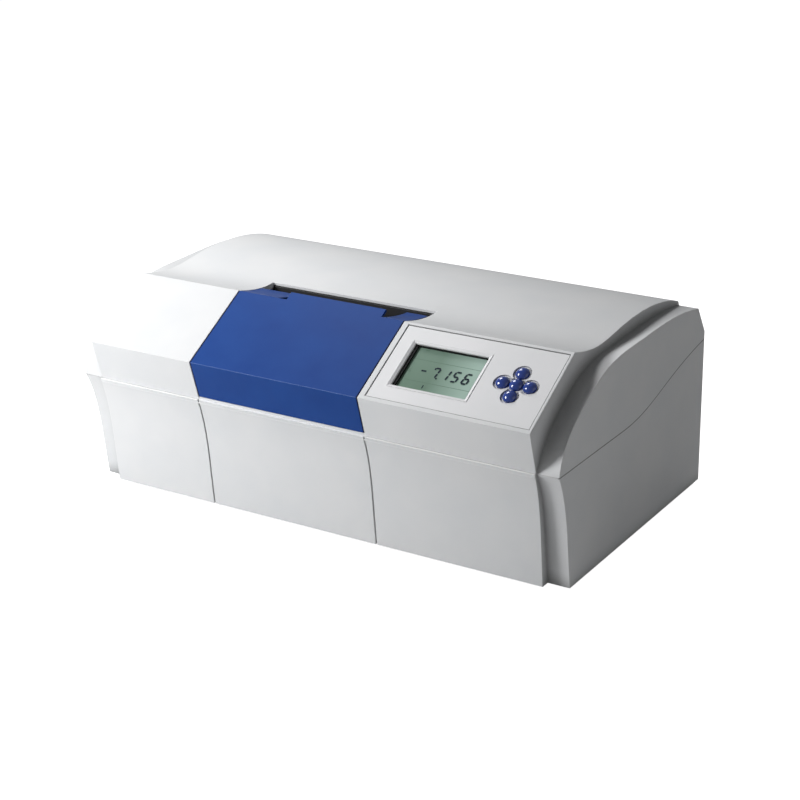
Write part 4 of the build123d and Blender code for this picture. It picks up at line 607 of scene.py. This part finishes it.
def bar_outline(start, end):
    """A segment's six corners: a bar between two points whose ends are cut to a point."""
    start, end = np.array(start), np.array(end)
    along = (end - start) / np.linalg.norm(end - start)
    side = np.array([-along[1], along[0]]) * SEGMENT_W / 2
    first, last = start + along * SEGMENT_GAP, end - along * SEGMENT_GAP
    inset = along * SEGMENT_W / 2
    return np.array([first, first + inset - side, last - inset - side,
                     last, last - inset + side, first + inset + side])


def digit_bars(symbol):
    """The bars of one seven-segment symbol about its own middle, before it leans."""
    w, h = (DIGIT_W - SEGMENT_W) / 2, (DIGIT_H - SEGMENT_W) / 2
    ends = {"a": ((-w, h), (w, h)), "b": ((w, h), (w, 0)), "c": ((w, 0), (w, -h)),
            "d": ((w, -h), (-w, -h)), "e": ((-w, -h), (-w, 0)), "f": ((-w, 0), (-w, h)),
            "g": ((-w, 0), (w, 0))}
    return [bar_outline(*ends[letter]) for letter in SEGMENTS[symbol]]


def reading_outlines():
    """Every bar of the figures, leaning, then the upright bars of the reading."""
    outlines = []
    for symbol, x in READING:
        for bar in digit_bars(symbol):
            leaning = bar.copy()
            leaning[:, 0] += bar[:, 1] * DIGIT_LEAN + x * MM
            outlines.append(leaning)
    return outlines + rectangles((MINUS, SEVEN_HOOK, POINT, TICK))


def rectangles(bars):
    """The corners of upright rectangles, each given in mm as (x, up, width, height)."""
    return [MM * np.array([(x - w / 2, up - h / 2), (x + w / 2, up - h / 2), (x + w / 2, up + h / 2),
                           (x - w / 2, up + h / 2)]) for x, up, w, h in bars]


def ink_plate(name, outlines, shift, lift, finish):
    """Segments as thin plates: each outline twice, low and high, with sides between."""
    points, faces, count = [], [], 0
    for outline in outlines:
        n = len(outline)
        across, up = outline[:, 0] + shift[0], outline[:, 1] + shift[1]
        for out in (lift, lift + INK_T):
            points.append(glass_point(across, up, np.full(n, out)))
        faces.append([count + i for i in reversed(range(n))])
        faces.append([count + n + i for i in range(n)])
        faces += [[count + i, count + (i + 1) % n, count + n + (i + 1) % n, count + n + i]
                  for i in range(n)]
        count += 2 * n
    return piece(name, np.concatenate(points), faces, finish, "housing")


# Studio

def camera():
    """The photograph's camera: round the object by azimuth and elevation, then rolled."""
    data = bpy.data.cameras.new("camera")
    data.sensor_width = SENSOR_MM
    data.lens = SENSOR_MM * CAMERA_FOCAL_PX / PHOTO_PX
    made = bpy.data.objects.new("camera", data)
    bpy.context.scene.collection.objects.link(made)
    flat = math.cos(CAMERA_ELEVATION)
    back = Vector((math.sin(CAMERA_AZIMUTH) * flat, -math.cos(CAMERA_AZIMUTH) * flat,
                   math.sin(CAMERA_ELEVATION)))
    turn = (-back).to_track_quat("-Z", "Y").to_matrix().to_4x4() @ Matrix.Rotation(CAMERA_ROLL, 4, "Z")
    made.matrix_world = Matrix.Translation(CAMERA_TARGET + back * CAMERA_DISTANCE) @ turn
    bpy.context.scene.camera = made


def softbox(name, place, size, watts):
    """A square lamp at a place, aimed at the object."""
    data = bpy.data.lights.new(name, "AREA")
    data.shape = "SQUARE"
    data.size = size
    data.energy = watts
    made = bpy.data.objects.new(name, data)
    bpy.context.scene.collection.objects.link(made)
    made.location = place
    made.rotation_euler = (Vector(LAMP_AIM) - Vector(place)).to_track_quat("-Z", "Y").to_euler()


def by_ray(tree, direct, glossy, rest):
    """A strength for rays from the camera or through glass, one for rays off a gloss, one for the rest.

    It is rest + seen * (direct - rest) + gloss * (glossy - rest), where seen and gloss are 0 or 1.
    """
    path = add(tree, "ShaderNodeLightPath").outputs
    seen = maths(tree, "MAXIMUM", path["Is Camera Ray"], path["Is Transmission Ray"])
    base = maths(tree, "MULTIPLY_ADD", seen, direct - rest, rest)
    return maths(tree, "MULTIPLY_ADD", path["Is Glossy Ray"], glossy - rest, base)


def surround():
    """A white sky that gives little light of its own."""
    world = bpy.data.worlds.new("surround")
    world.use_nodes = True
    bpy.context.scene.world = world
    tree = world.node_tree
    tree.nodes.clear()
    sky = add(tree, "ShaderNodeBackground", values={"Color": colour("#ffffff")},
              links={"Strength": by_ray(tree, *SKY_STRENGTH)})
    add(tree, "ShaderNodeOutputWorld", links={"Surface": sky.outputs["Background"]})


def pale_floor():
    """A level floor, matt pale grey with a glow that runs into the sky."""
    made = bpy.data.materials.new("floor_pale")
    made.use_nodes = True
    tree = made.node_tree
    tree.nodes.clear()
    matt = add(tree, "ShaderNodeBsdfDiffuse", values={"Color": colour("#e6e6e6")})
    glow = add(tree, "ShaderNodeEmission", values={"Color": colour("#ffffff")},
               links={"Strength": by_ray(tree, *FLOOR_GLOW)})
    both = add(tree, "ShaderNodeAddShader", links={0: matt.outputs["BSDF"], 1: glow.outputs["Emission"]})
    add(tree, "ShaderNodeOutputMaterial", links={"Surface": both.outputs["Shader"]})
    mesh = bpy.data.meshes.new("floor")
    corners = [(x * FLOOR_HALF, y * FLOOR_HALF, 0) for x, y in ((-1, -1), (1, -1), (1, 1), (-1, 1))]
    mesh.from_pydata(corners, [], [(0, 1, 2, 3)])
    mesh.materials.append(made)
    floor = bpy.data.objects.new("floor", mesh)
    bpy.context.scene.collection.objects.link(floor)


def studio():
    """A white surround, a pale floor and three softboxes: left in front, left behind, a faint right."""
    bpy.context.scene.view_settings.view_transform = "Standard"
    surround()
    pale_floor()
    for name, (place, size, watts) in LAMPS.items():
        softbox(name, place, size, watts)
    camera()


def main():
    """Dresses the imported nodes, adds the display's reading and sets the studio."""
    dress_nodes(slot_materials())
    faint = display_ink_or_shadow("ink_faint_and_painted_shadow", "#5f7a6a", "#6a8575")
    dark = display_ink_or_shadow("ink_dark", "#0a1626", "#101e30")
    # display_shade is a painted shadow of the reading: a faint copy, shifted.
    ink_plate("display_shade", reading_outlines(), SHADE_SHIFT, 0.01 * MM, faint)
    ink_plate("display_marks", rectangles(FAINT_RULES + FAINT_MARKS), (0.0, 0.0), 0.01 * MM, faint)
    ink_plate("display_reading", reading_outlines(), (0.0, 0.0), 0.06 * MM, dark)
    studio()


main()
